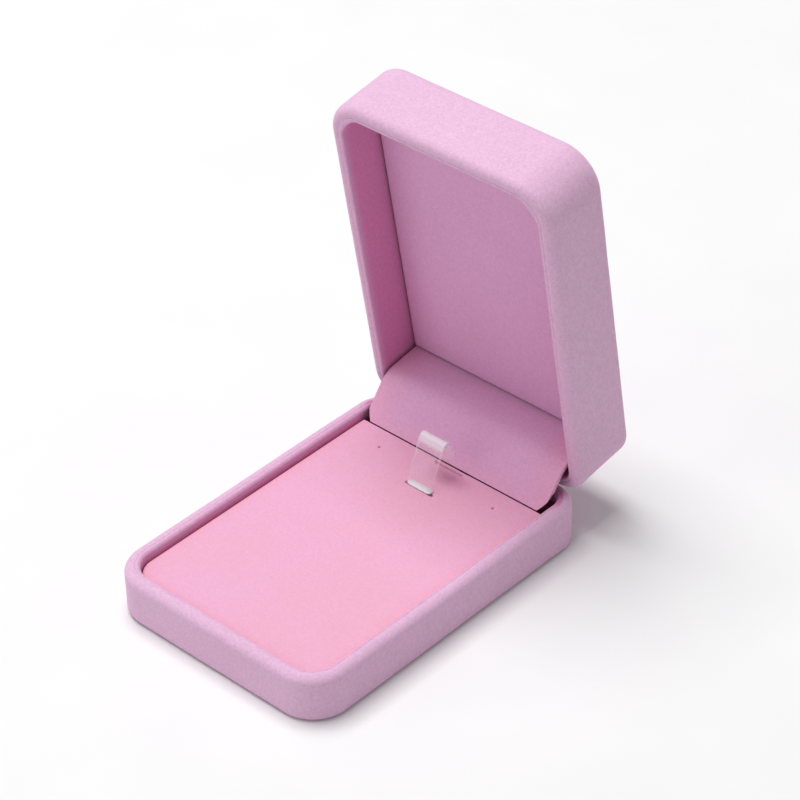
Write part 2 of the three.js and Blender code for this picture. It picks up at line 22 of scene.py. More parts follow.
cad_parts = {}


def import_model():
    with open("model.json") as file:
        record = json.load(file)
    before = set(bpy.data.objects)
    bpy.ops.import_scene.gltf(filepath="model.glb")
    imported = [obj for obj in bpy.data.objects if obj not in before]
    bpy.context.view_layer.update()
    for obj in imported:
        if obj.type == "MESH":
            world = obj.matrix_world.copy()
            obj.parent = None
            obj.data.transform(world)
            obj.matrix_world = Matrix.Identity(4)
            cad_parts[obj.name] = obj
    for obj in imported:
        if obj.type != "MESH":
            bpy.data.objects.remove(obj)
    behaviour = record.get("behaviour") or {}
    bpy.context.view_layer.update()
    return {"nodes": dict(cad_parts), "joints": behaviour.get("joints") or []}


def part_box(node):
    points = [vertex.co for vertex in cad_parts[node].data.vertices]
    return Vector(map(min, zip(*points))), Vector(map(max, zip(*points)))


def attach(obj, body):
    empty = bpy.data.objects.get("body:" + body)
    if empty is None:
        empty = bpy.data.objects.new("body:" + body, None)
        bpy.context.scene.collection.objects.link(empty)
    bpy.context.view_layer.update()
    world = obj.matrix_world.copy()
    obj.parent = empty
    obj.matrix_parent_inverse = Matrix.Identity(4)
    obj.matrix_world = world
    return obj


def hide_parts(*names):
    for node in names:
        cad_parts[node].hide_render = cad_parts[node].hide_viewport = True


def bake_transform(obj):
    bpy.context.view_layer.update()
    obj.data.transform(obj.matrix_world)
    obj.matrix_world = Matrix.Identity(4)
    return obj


MM = 0.001
LID_EDGE = 2.3 * MM  # rounding of the edge of the lid's top
OUTLINE_STEPS = 620  # steps round the box that the velvet is shaped in
OUTLINE_LENGTH = 295 * MM  # about once round the box
Array = np.ndarray
log = logging.getLogger("pendant_box")


# ------------------------------------------------------------------------------ sizes


@dataclass(frozen=True)
class Plan:
    """A rounded rectangle, centred on the origin, that the box's walls follow.

    Attributes:
        half_width: half of its size along X.
        half_depth: half of its size along Y.
        radius: radius of its two front corners.
        rear_radius: radius of its two corners at the hinge.
    """

    half_width: float
    half_depth: float
    radius: float = 9.7 * MM
    rear_radius: float = 7.4 * MM

    def loop(self, count: int) -> tuple[Array, Array, Array]:
        """Even steps once round the outline, anticlockwise seen from above.

        The outline is a circle's point carried by a moving centre: on the straights the
        centre slides, the radius changes from one corner's to the next and the circle's
        angle stands still, and on the corners only the angle turns. All of them run in step
        with the length of the outline.

        Args:
            count: number of steps.

        Returns:
            Points (count, 2), outward normals (count, 2) and the angle of each normal.
        """
        front, rear = self.radius, self.rear_radius
        side = 2 * self.half_depth - front - rear
        rear_side, front_side = 2 * (self.half_width - rear), 2 * (self.half_width - front)
        rear_arc, front_arc = rear * math.pi / 2, front * math.pi / 2
        runs = [0, side, rear_arc, rear_side, rear_arc, side, front_arc, front_side, front_arc]
        knots = np.cumsum(runs)
        length = np.arange(count) / count * knots[-1]
        radii = np.array([front, rear, rear, rear, rear, front, front, front, front])
        across = np.array([1, 1, 1, -1, -1, -1, -1, 1, 1])
        along = np.array([-1, 1, 1, 1, 1, -1, -1, -1, -1])
        turns = np.array([0, 0, 1, 1, 2, 2, 3, 3, 4]) * math.pi / 2
        x = np.interp(length, knots, across * (self.half_width - radii))
        y = np.interp(length, knots, along * (self.half_depth - radii))
        radius = np.interp(length, knots, radii)[:, None]
        angle = np.interp(length, knots, turns)
        normal = np.stack([np.cos(angle), np.sin(angle)], axis=1)
        return np.stack([x, y], axis=1) + radius * normal, normal, angle

    def corner_share(self, count: int) -> Array:
        """How deep in a corner each step is: 0 on the straights, 1 halfway round a corner."""
        return np.sin(2 * self.loop(count)[2]) ** 2


@dataclass(frozen=True)
class BoxSizes:
    """Sizes that the base and the lid share, in metres, with places read from the frame.

    Attributes:
        plan: the outline of the box.
        base_rim: height of the base's rim.
        lid_rim: height of the lid's rim when shut.
        lid_top: height of the lid's top when shut.
        axis_y: the hinge pin's place along Y.
        axis_z: the hinge pin's height.
        opening: how far the lid is swung open, in radians.
        crease: the hinge strip's crease in the Y-Z plane, while the lid is open.
        wall: thickness of a wall, velvet and all.
        cloth: thickness of the velvet.
        rim_rounding: rounding of a rim's outer edge.
        notch_half: half the width of the notch that the rims leave for the hinge.
        notch_reach: how far the notch reaches from the pin, up and down.
    """

    plan: Plan
    base_rim: float
    lid_rim: float
    lid_top: float
    axis_y: float
    axis_z: float
    opening: float
    crease: tuple[float, float]
    wall: float = 3.7 * MM
    cloth: float = 0.5 * MM
    rim_rounding: float = 2.1 * MM
    notch_half: float = 22 * MM
    notch_reach: float = 1.35 * MM

    def swing_open(self, points: Array) -> Array:
        """Turns points of the shut lid back about the pin.

        Args:
            points: (..., 3), of the shut lid.

        Returns:
            The same points of the open lid.
        """
        turn = -self.opening
        y, z = points[..., 1] - self.axis_y, points[..., 2] - self.axis_z
        moved = points.copy()
        moved[..., 1] = self.axis_y + y * math.cos(turn) - z * math.sin(turn)
        moved[..., 2] = self.axis_z + y * math.sin(turn) + z * math.cos(turn)
        return moved


def sizes_from_frame(frame: dict) -> BoxSizes:
    """Reads the box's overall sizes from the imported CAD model.


    Returns:
        The sizes that every sub-assembly works from.
    """
    _, base_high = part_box("base_cover")
    _, lid_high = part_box("lid_cover")
    joints = {joint["name"]: joint for joint in frame["joints"]}
    opening = math.radians(max(joints["lid_hinge"]["range_deg"]))
    _, axis_y, axis_z = joints["lid_hinge"]["pos_m"]
    _, crease_y, crease_z = joints["flap_crease"]["pos_m"]
    # Shut, the two rims stand evenly above and below the pin. Open, the round edge of the
    # lid's top is its rearmost part, which gives the top's height over the pin.
    gap = 2 * (axis_z - base_high.z)
    behind_pin = lid_high.y - axis_y - LID_EDGE
    along_wall = (base_high.y - axis_y - LID_EDGE) * math.cos(opening)
    rise = LID_EDGE + (behind_pin - along_wall) / math.sin(opening)
    return BoxSizes(
        plan=Plan(base_high.x, base_high.y),
        base_rim=base_high.z,
        lid_rim=base_high.z + gap,
        lid_top=axis_z + rise,
        axis_y=axis_y,
        axis_z=axis_z,
        opening=opening,
        crease=(crease_y, crease_z),
    )


# ------------------------------------------------------------------------- mesh making


def smooth_step(x: Array | float, low: float, high: float) -> Array:
    """A smooth rise from 0 at low to 1 at high: 3t squared less 2t cubed.

    Args:
        x: where the rise is read.
        low: where it starts.
        high: where it ends.

    Returns:
        Its height at each x.
    """
    t = np.clip((np.asarray(x, float) - low) / (high - low), 0, 1)
    return t * t * (3 - 2 * t)


def ripple(x: Array, y: Array, wavelength: float, seed: float) -> Array:
    """A soft, uneven wave between about -1 and 1: three sine waves across each other.

    Args:
        x: first place along the surface.
        y: second place along the surface.
        wavelength: length of the longest wave.
        seed: shifts the waves, so that no two pieces match.

    Returns:
        The wave's height at each place.
    """
    k = 2 * math.pi / wavelength
    waves = np.sin(k * (x + 0.37 * y) + seed)
    waves = waves + 0.7 * np.sin(k * 1.73 * (y - 0.41 * x) + 2.1 * seed)
    waves = waves + 0.5 * np.sin(k * 2.61 * (x * 0.8 + y) + 3.7 * seed)
    return waves / 2.2


def rolled_off(into: Array, radius: float) -> Array:
    """How far a rounding has fallen away: radius less the root of radius^2 less into^2.

    Args:
        into: distance into the rounding, from 0 to its radius.
        radius: its radius.

    Returns:
        The fall, from 0 to the radius.
    """
    return radius - np.sqrt(np.maximum(radius**2 - into**2, 0))


def quads(rows: int, columns: int, wrap_rows: bool = False, wrap_columns: bool = False) -> Array:
    """The corner numbers of the quads of a grid of points, row by row.

    Args:
        rows: number of rows.
        columns: number of columns.
        wrap_rows: join the last row to the first.
        wrap_columns: join the last column to the first.

    Returns:
        An array (faces, 4).
    """
    index = np.arange(rows * columns).reshape(rows, columns)
    if wrap_rows:
        index = np.vstack([index, index[:1]])
    if wrap_columns:
        index = np.hstack([index, index[:, :1]])
    corners = [index[:-1, :-1], index[1:, :-1], index[1:, 1:], index[:-1, 1:]]
    return np.stack(corners, axis=-1).reshape(-1, 4)


def fan(ring: Array, centre: int) -> Array:
    """Triangles from each step of a ring of corner numbers to a centre, ring then centre."""
    return np.stack([ring, np.roll(ring, -1), np.full(len(ring), centre)], axis=1)


def make_piece(name: str, points: Array, faces: Sequence[Array]) -> bpy.types.Object:
    """A smooth mesh object from points and faces.

    Args:
        name: the piece's name.
        points: (n, 3), in metres.
        faces: arrays of faces, each (m, 3) or (m, 4).

    Returns:
        The new object, at the origin.
    """
    mesh = bpy.data.meshes.new(name)
    listed = [face for part in faces for face in part.tolist()]
    mesh.from_pydata(np.asarray(points, float).tolist(), [], listed)
    mesh.polygons.foreach_set("use_smooth", np.ones(len(listed), bool))
    mesh.update()
    piece = bpy.data.objects.new(name, mesh)
    bpy.context.scene.collection.objects.link(piece)
    return piece


def make_slab(name: str, top: Array, bottom: Array) -> bpy.types.Object:
    """A closed piece between two grids of points of the same size.

    Args:
        name: the piece's name.
        top: (rows, columns, 3), the outer face, with rows crossed by columns facing out.
        bottom: the same grid on the inner face.

    Returns:
        The new object.
    """
    rows, columns = top.shape[:2]
    count = rows * columns
    upper = quads(rows, columns)
    lower = upper[:, ::-1] + count
    index = np.arange(count).reshape(rows, columns)
    rim = np.concatenate([index[:-1, 0], index[-1, :-1], index[:0:-1, -1], index[0, :0:-1]])
    after = np.roll(rim, -1)
    side = np.stack([rim, rim + count, after + count, after], axis=1)
    points = np.concatenate([top.reshape(-1, 3), bottom.reshape(-1, 3)])
    return make_piece(name, points, [upper, lower, side])


def set_shade(piece: bpy.types.Object, name: str, values: Array) -> None:
    """Stores one number for each point of a piece, for its finish to read."""
    layer = piece.data.attributes.new(name, "FLOAT", "POINT")
    layer.data.foreach_set("value", np.asarray(values, np.float32).ravel())


def round_edges(piece: bpy.types.Object, width: float) -> None:
    """Rounds the sharp edges of a piece with a live bevel.

    Args:
        piece: the piece.
        width: how far each rounding reaches.
    """
    bevel = piece.modifiers.new("soft_edges", "BEVEL")
    bevel.width = width
    bevel.segments = 3
    bevel.limit_method = "ANGLE"
    bevel.angle_limit = math.radians(40)


def column(value: Array | float, count: int) -> Array:
    """One value, or one for each step, as an array (count, 1)."""
    return np.broadcast_to(np.asarray(value, float).reshape(-1, 1), (count, 1))


def edge_arc(
    count: int, inset: Array | float, depth: Array | float, radius: Array | float,
    start: float, end: float, steps: int,
) -> Array:
    """The rounded edge of a wall's section: points of a circle about the arc's centre.

    Args:
        count: steps round the box.
        inset: the centre's distance in from the outer face.
        depth: the centre's distance below the rim.
        radius: radius of the arc.
        start: first angle in degrees; 0 points out of the box and 90 out of the rim.
        end: last angle in degrees.
        steps: number of points.

    Returns:
        (count, steps, 2), each [inset, depth].
    """
    angle = np.radians(np.linspace(start, end, steps))[None]
    centre, low, size = column(inset, count), column(depth, count), column(radius, count)
    return np.stack([centre - size * np.cos(angle), low - size * np.sin(angle)], axis=-1)


def straight(count: int, start: Sequence, end: Sequence, steps: int) -> Array:
    """Even points between two places of a section, the two ends among them.

    Args:
        count: steps round the box.
        start: the first [inset, depth], each one value or one for each step.
        end: the last [inset, depth].
        steps: number of points.

    Returns:
        (count, steps, 2).
    """
    share = np.linspace(0, 1, steps)[None]
    mixed = [column(a, count) * (1 - share) + column(b, count) * share for a, b in zip(start, end)]
    return np.stack(mixed, axis=-1)


def carry(plan: Plan, sections: Array) -> Array:
    """Carries sections round the box's outline.

    A point is the outline's point, moved back along its normal by the section's inset, at
    the section's height.

    Args:
        plan: the outline.
        sections: (count, points, 2), each [inset, height].

    Returns:
        (count, points, 3).
    """
    outline, normal, _ = plan.loop(len(sections))
    flat = outline[:, None, :] - sections[..., :1] * normal[:, None, :]
    return np.concatenate([flat, sections[..., 1:]], axis=-1)


# --------------------------------------------------------------------------- finishes


class Shader:
    """A short way to lay out one procedural material."""

    def __init__(self, name: str) -> None:
        """Starts a material with a bare surface shader.

        Args:
            name: the material's name.
        """
        self.material = bpy.data.materials.new(name)
        self.material.use_nodes = True
        self.tree = self.material.node_tree
        self.surface = self.tree.nodes["Principled BSDF"]

    def node(self, kind: str, **settings: object) -> bpy.types.Node:
        """Adds a node.

        Args:
            kind: Blender's name for the kind of node.
            settings: the node's own settings.

        Returns:
            The new node.
        """
        node = self.tree.nodes.new(kind)
        for key, value in settings.items():
            setattr(node, key, value)
        return node

    def feed(self, target: bpy.types.Node, socket: str | int, value: object) -> None:
        """Sets an input.

        Args:
            target: the node.
            socket: the input's name or number.
            value: another node's output, which is linked to it, or the input's own value.
        """
        if isinstance(value, bpy.types.NodeSocket):
            self.tree.links.new(value, target.inputs[socket])
        else:
            target.inputs[socket].default_value = value

    def place(self) -> bpy.types.NodeSocket:
        """The place on the piece, in metres, that patterns are laid by."""
        return self.node("ShaderNodeTexCoord").outputs["Object"]

    def stretched(self, x: float, y: float, z: float) -> bpy.types.NodeSocket:
        """The place on the piece, scaled along each axis.

        Args:
            x: factor along X; a small one draws a pattern out.
            y: factor along Y.
            z: factor along Z.

        Returns:
            The scaled place.
        """
        mapping = self.node("ShaderNodeMapping")
        self.feed(mapping, "Vector", self.place())
        self.feed(mapping, "Scale", (x, y, z))
        return mapping.outputs["Vector"]

    def cloud(self, scale: float, detail: float = 2, where: object = None) -> bpy.types.NodeSocket:
        """Soft noise between 0 and 1.

        Args:
            scale: blotches to the metre.
            detail: how many finer layers lie over them.
            where: the place that it is laid by, if not the plain one.

        Returns:
            The noise.
        """
        noise = self.node("ShaderNodeTexNoise")
        self.feed(noise, "Vector", where or self.place())
        self.feed(noise, "Scale", scale)
        self.feed(noise, "Detail", detail)
        return noise.outputs["Fac"]

    def ramp(self, value: object, low: float, high: float, start: float, end: float) -> object:
        """A value taken from one range onto another and held inside it.

        Args:
            value: the value.
            low: start of its range.
            high: end of its range.
            start: what low becomes.
            end: what high becomes.

        Returns:
            The new value.
        """
        node = self.node("ShaderNodeMapRange")
        for key, number in (("Value", value), ("From Min", low), ("From Max", high)):
            self.feed(node, key, number)
        self.feed(node, "To Min", start)
        self.feed(node, "To Max", end)
        return node.outputs["Result"]

    def sum(self, first: object, second: object) -> object:
        """One value added to another.

        Args:
            first: one value.
            second: the other.

        Returns:
            Their sum.
        """
        node = self.node("ShaderNodeMath", operation="ADD")
        self.feed(node, 0, first)
        self.feed(node, 1, second)
        return node.outputs[0]

    def mix(self, share: object, first: object, second: object) -> object:
        """Two colours mixed.

        Args:
            share: 0 for the first colour alone, 1 for the second.
            first: the first colour.
            second: the second colour.

        Returns:
            The mixed colour.
        """
        node = self.node("ShaderNodeMix", data_type="RGBA", blend_type="MIX")
        self.feed(node, 0, share)
        self.feed(node, 6, first)
        self.feed(node, 7, second)
        return node.outputs[2]

    def shade(self, name: str) -> bpy.types.NodeSocket:
        """The number that set_shade stored on the piece, and 0 where there is none."""
        return self.node("ShaderNodeAttribute", attribute_name=name).outputs["Fac"]

    def bump(self, height: object, distance: float, strength: float = 1) -> None:
        """Raises the surface by a height pattern, over what is already raised.

        Args:
            height: the pattern.
            distance: the height that a value of 1 stands for.
            strength: share of it that is used.
        """
        node = self.node("ShaderNodeBump")
        self.feed(node, "Height", height)
        self.feed(node, "Distance", distance)
        self.feed(node, "Strength", strength)
        earlier = self.surface.inputs["Normal"].links
        if earlier:
            self.feed(node, "Normal", earlier[0].from_socket)
        self.feed(self.surface, "Normal", node.outputs["Normal"])

    def set(self, **values: object) -> bpy.types.Material:
        """Sets the surface's own sockets.

        Args:
            values: a value for each socket, with _ for each space in its name.

        Returns:
            The finished material.
        """
        for key, value in values.items():
            self.feed(self.surface, key.replace("_", " "), value)
        return self.material


@dataclass(frozen=True)
class Velvet:
    """Short-pile velvet: a matt dyed ground, pale pile tips, brushed patches, and a second colour
    for the lined board and for painted shade.

    Attributes:
        name: the finish's name.
        pile: colour of the pile where it stands up.
        brushed: colour where the pile leans over.
        lining_and_shade: colour where the stored shade is 1: partly the rosier lined board, partly
            painted shade deep inside the box, in gaps and at edges.
        tips: colour of the light that the pile's tips catch.
        sheen: how much light they catch.
        patch: brushed patches to the metre.
        grain: tufts to the metre.
        depth: how far the tufts stand up.
        contrast: how far a tuft differs from the next, in brightness.
    """

    name: str
    pile: tuple
    brushed: tuple
    lining_and_shade: tuple
    tips: tuple
    sheen: float = 0.35
    patch: float = 38.0
    grain: float = 3400.0
    depth: float = 0.11 * MM
    contrast: float = 0.16

    def material(self) -> bpy.types.Material:
        """Patches of leaning pile, then tufts, over the dyed ground, each from soft noise, with the
        second colour mixed in where the stored shade is high.

        Returns:
            The material.
        """
        shader = Shader(self.name)
        patches = shader.ramp(shader.cloud(self.patch, 3), 0.35, 0.68, 0.0, 1.0)
        ground = shader.mix(patches, self.pile, self.brushed)
        # Painted shade: the darker, rosier second colour is mixed in by the stored shade, partly
        # for the lined board.
        ground = shader.mix(shader.shade("lining_and_shade"), ground, self.lining_and_shade)
        tufts = shader.cloud(self.grain, 2.5)
        clumps = shader.cloud(self.grain * 0.42, 2)
        both = shader.sum(tufts, clumps)
        bright = shader.ramp(both, 0.7, 1.3, 1 - self.contrast, 1 + self.contrast)
        shaded = shader.node("ShaderNodeVectorMath", operation="SCALE")
        shader.feed(shaded, 0, ground)
        shader.feed(shaded, "Scale", bright)
        shader.bump(clumps, self.depth, 0.35)
        shader.bump(tufts, self.depth, 0.6)
        return shader.set(
            Base_Color=shaded.outputs[0],
            Roughness=shader.ramp(tufts, 0.3, 0.7, 0.84, 0.98),
            Specular_IOR_Level=0.18,
            Sheen_Weight=self.sheen,
            Sheen_Roughness=0.42,
            Sheen_Tint=self.tips,
        )


@dataclass(frozen=True)
class ClearFilm:
    """Very clear thin film, seen mostly by painted highlights on its cut edges and bend, and a
    faint painted reflection.

    Attributes:
        name: the finish's name.
        tint: colour of the light that the film sends on.
        clear: how much of it shows where it is flat and clean.
        bright: how much of it shows where the stored edge mask of painted highlights is 1.
    """

    name: str = "clear_film"
    tint: tuple = (0.93, 0.88, 0.93, 1.0)
    clear: float = 0.05
    bright: float = 0.8

    def material(self) -> bpy.types.Material:
        """See-through where flat, with faint scuffs, and whiter where the stored edge mask paints
        highlights and a reflection.

        Returns:
            The material.
        """
        shader = Shader(self.name)
        scuffs = shader.ramp(shader.cloud(650, 3), 0.45, 0.75, 0.0, 0.05)
        # Painted highlight: the film turns opaque white along its stored edge mask.
        alpha_with_glint = shader.ramp(shader.shade("edge"), 0, 1, self.clear, self.bright)
        return shader.set(
            Base_Color=self.tint,
            Alpha=shader.sum(alpha_with_glint, scuffs),
            Roughness=shader.ramp(scuffs, 0, 0.05, 0.08, 0.2),
            IOR=1.45,
            Specular_IOR_Level=0.5,
        )


@dataclass(frozen=True)
class MilkyPlastic:
    """The strap's heat-sealed foot: clear plastic turned white, and waxy.

    Attributes:
        name: the finish's name.
        pale: its main colour.
        cloudy: colour of its cloudy patches.
    """

    name: str = "milky_plastic"
    pale: tuple = (0.93, 0.90, 0.93, 1.0)
    cloudy: tuple = (0.72, 0.66, 0.72, 1.0)

    def material(self) -> bpy.types.Material:
        """White and cloudy patches, slightly see-through.

        Returns:
            The material.
        """
        shader = Shader(self.name)
        patches = shader.ramp(shader.cloud(700, 3), 0.35, 0.7, 0.0, 1.0)
        shader.bump(shader.cloud(1500, 2), 0.03 * MM, 0.4)
        return shader.set(
            Base_Color=shader.mix(patches, self.pale, self.cloudy),
            Roughness=shader.ramp(patches, 0, 1, 0.22, 0.4),
            Subsurface_Weight=0.25,
            Subsurface_Scale=0.6 * MM,
            Transmission_Weight=0.12,
        )


@dataclass(frozen=True)
class MouldedPlastic:
    """Plain injection-moulded plastic with a satin, finely pitted skin.

    Attributes:
        name: the finish's name.
        colour: its main colour.
        flow: colour of the flow marks.
    """

    name: str = "moulded_tray"
    colour: tuple = (0.62, 0.27, 0.40, 1.0)
    flow: tuple = (0.55, 0.23, 0.35, 1.0)

    def material(self) -> bpy.types.Material:
        """Faint flow marks in the colour, and a fine pitted bump.

        Returns:
            The material.
        """
        shader = Shader(self.name)
        marks = shader.cloud(60, 4, shader.stretched(1.0, 0.4, 2.0))
        shader.bump(shader.cloud(2600, 2), 0.02 * MM, 0.5)
        return shader.set(
            Base_Color=shader.mix(shader.ramp(marks, 0.3, 0.7, 0, 1), self.colour, self.flow),
            Roughness=shader.ramp(marks, 0.3, 0.7, 0.38, 0.5),
        )


@dataclass(frozen=True)
class Card:
    """Rose-faced pressed card, with fibres and flecks.

    Attributes:
        name: the finish's name.
        colour: its main colour.
        fleck: colour of the flecks and of the darkest fibres.
    """

    name: str = "pressed_card"
    colour: tuple = (0.52, 0.22, 0.34, 1.0)
    fleck: tuple = (0.34, 0.13, 0.21, 1.0)

    def material(self) -> bpy.types.Material:
        """Drawn-out fibres and sparse dark flecks from noise.

        Returns:
            The material.
        """
        shader = Shader(self.name)
        fibres = shader.cloud(900, 5, shader.stretched(1.0, 0.3, 1.0))
        flecks = shader.ramp(shader.cloud(2200, 2), 0.66, 0.74, 0.0, 0.8)
        pale = shader.mix(shader.ramp(fibres, 0.3, 0.7, 0, 0.35), self.colour, self.fleck)
        shader.bump(fibres, 0.05 * MM, 0.6)
        return shader.set(Base_Color=shader.mix(flecks, pale, self.fleck), Roughness=0.93)


@dataclass(frozen=True)
class Foam:
    """White open-cell foam.

    Attributes:
        name: the finish's name.
        colour: colour of the cells' walls.
        cell: colour inside the cells, painted shade in the pores.
    """

    name: str = "open_foam"
    colour: tuple = (0.86, 0.84, 0.80, 1.0)
    cell: tuple = (0.60, 0.57, 0.53, 1.0)

    def material(self) -> bpy.types.Material:
        """Small round cells, darker inside as painted shade in the pores.

        Returns:
            The material.
        """
        shader = Shader(self.name)
        cells = shader.node("ShaderNodeTexVoronoi")
        shader.feed(cells, "Vector", shader.place())
        shader.feed(cells, "Scale", 1900.0)
        walls = shader.ramp(cells.outputs["Distance"], 0.1, 0.5, 0.0, 1.0)
        shader.bump(walls, 0.12 * MM, 0.8)
        # Painted shade: the cells' insides take the darker colour.
        return shader.set(Base_Color=shader.mix(walls, self.cell, self.colour), Roughness=0.95)


@dataclass(frozen=True)
class BrushedSteel:
    """Thin plated steel, drawn along the hinge pin.

    Attributes:
        name: the finish's name.
        colour: colour of the bright plating.
        dull: colour of its dull patches.
    """

    name: str = "plated_steel"
    colour: tuple = (0.72, 0.71, 0.70, 1.0)
    dull: tuple = (0.52, 0.51, 0.51, 1.0)

    def material(self) -> bpy.types.Material:
        """Fine scratches along X, with dull patches.

        Returns:
            The material.
        """
        shader = Shader(self.name)
        scratches = shader.cloud(3000, 3, shader.stretched(0.04, 1.0, 1.0))
        dull = shader.ramp(shader.cloud(180, 3), 0.4, 0.7, 0.0, 1.0)
        shader.bump(scratches, 0.01 * MM, 0.5)
        return shader.set(
            Base_Color=shader.mix(dull, self.colour, self.dull),
            Metallic=1.0,
            Roughness=shader.ramp(scratches, 0.3, 0.7, 0.22, 0.42),
        )


@dataclass(frozen=True)
class Paper:
    """The pale sheet that the box stands on.

    Attributes:
        name: the finish's name.
        colour: its main colour.
        fibre: colour of its fibres.
    """

    name: str = "pale_paper"
    colour: tuple = (0.86, 0.86, 0.86, 1.0)
    fibre: tuple = (0.84, 0.84, 0.845, 1.0)

    def material(self) -> bpy.types.Material:
        """A faint fibre in a matt pale surface.

        Returns:
            The material.
        """
        shader = Shader(self.name)
        fibres = shader.ramp(shader.cloud(30, 2), 0.3, 0.7, 0, 1)
        return shader.set(
            Base_Color=shader.mix(fibres, self.colour, self.fibre),
            Roughness=0.95,
            Specular_IOR_Level=0.05,
        )


OUTER_VELVET = Velvet(
    name="lilac_pink_velvet",
    pile=(0.735, 0.465, 0.65, 1.0),
    brushed=(0.72, 0.45, 0.635, 1.0),
    # Partly the rosier lined board, partly painted shade deep inside the walls and by the hinge.
    lining_and_shade=(0.70, 0.275, 0.50, 1.0),
    tips=(1.0, 0.80, 0.95, 1.0),
    sheen=0.3,
    depth=0.09 * MM,
    contrast=0.095,
)
PAD_VELVET = Velvet(
    name="rose_pad_velvet",
    pile=(0.79, 0.415, 0.60, 1.0),
    # Painted shade: pinker, darker colour towards the pad's edges, where it meets the wall.
    brushed=(0.79, 0.41, 0.545, 1.0),
    lining_and_shade=(0.81, 0.385, 0.50, 1.0),
    tips=(1.0, 0.80, 0.92, 1.0),
    sheen=0.16,
    patch=52.0,
    contrast=0.05,
)
PANEL_VELVET = Velvet(
    name="rose_panel_velvet",
    pile=(0.72, 0.405, 0.635, 1.0),
    brushed=(0.70, 0.39, 0.605, 1.0),
    # Painted shade: dark maroon for the narrow gap at the panel's edges.
    lining_and_shade=(0.56, 0.19, 0.38, 1.0),
    tips=(1.0, 0.82, 0.94, 1.0),
    sheen=0.2,
    contrast=0.08,
)
STRIP_VELVET = Velvet(
    name="rose_strip_velvet",
    pile=(0.77, 0.435, 0.675, 1.0),
    brushed=(0.755, 0.42, 0.64, 1.0),
    # Painted shade: pinker, darker colour towards the strip's sides and lower end.
    lining_and_shade=(0.80, 0.40, 0.58, 1.0),
    tips=(1.0, 0.82, 0.92, 1.0),
    sheen=0.2,
    patch=70.0,
    contrast=0.07,
)


# ------------------------------------------------------------------------ wrapped tray


class Facing(Enum):
    """Which way an opening or a pad faces while the box is shut."""

    UP = 1
    DOWN = -1


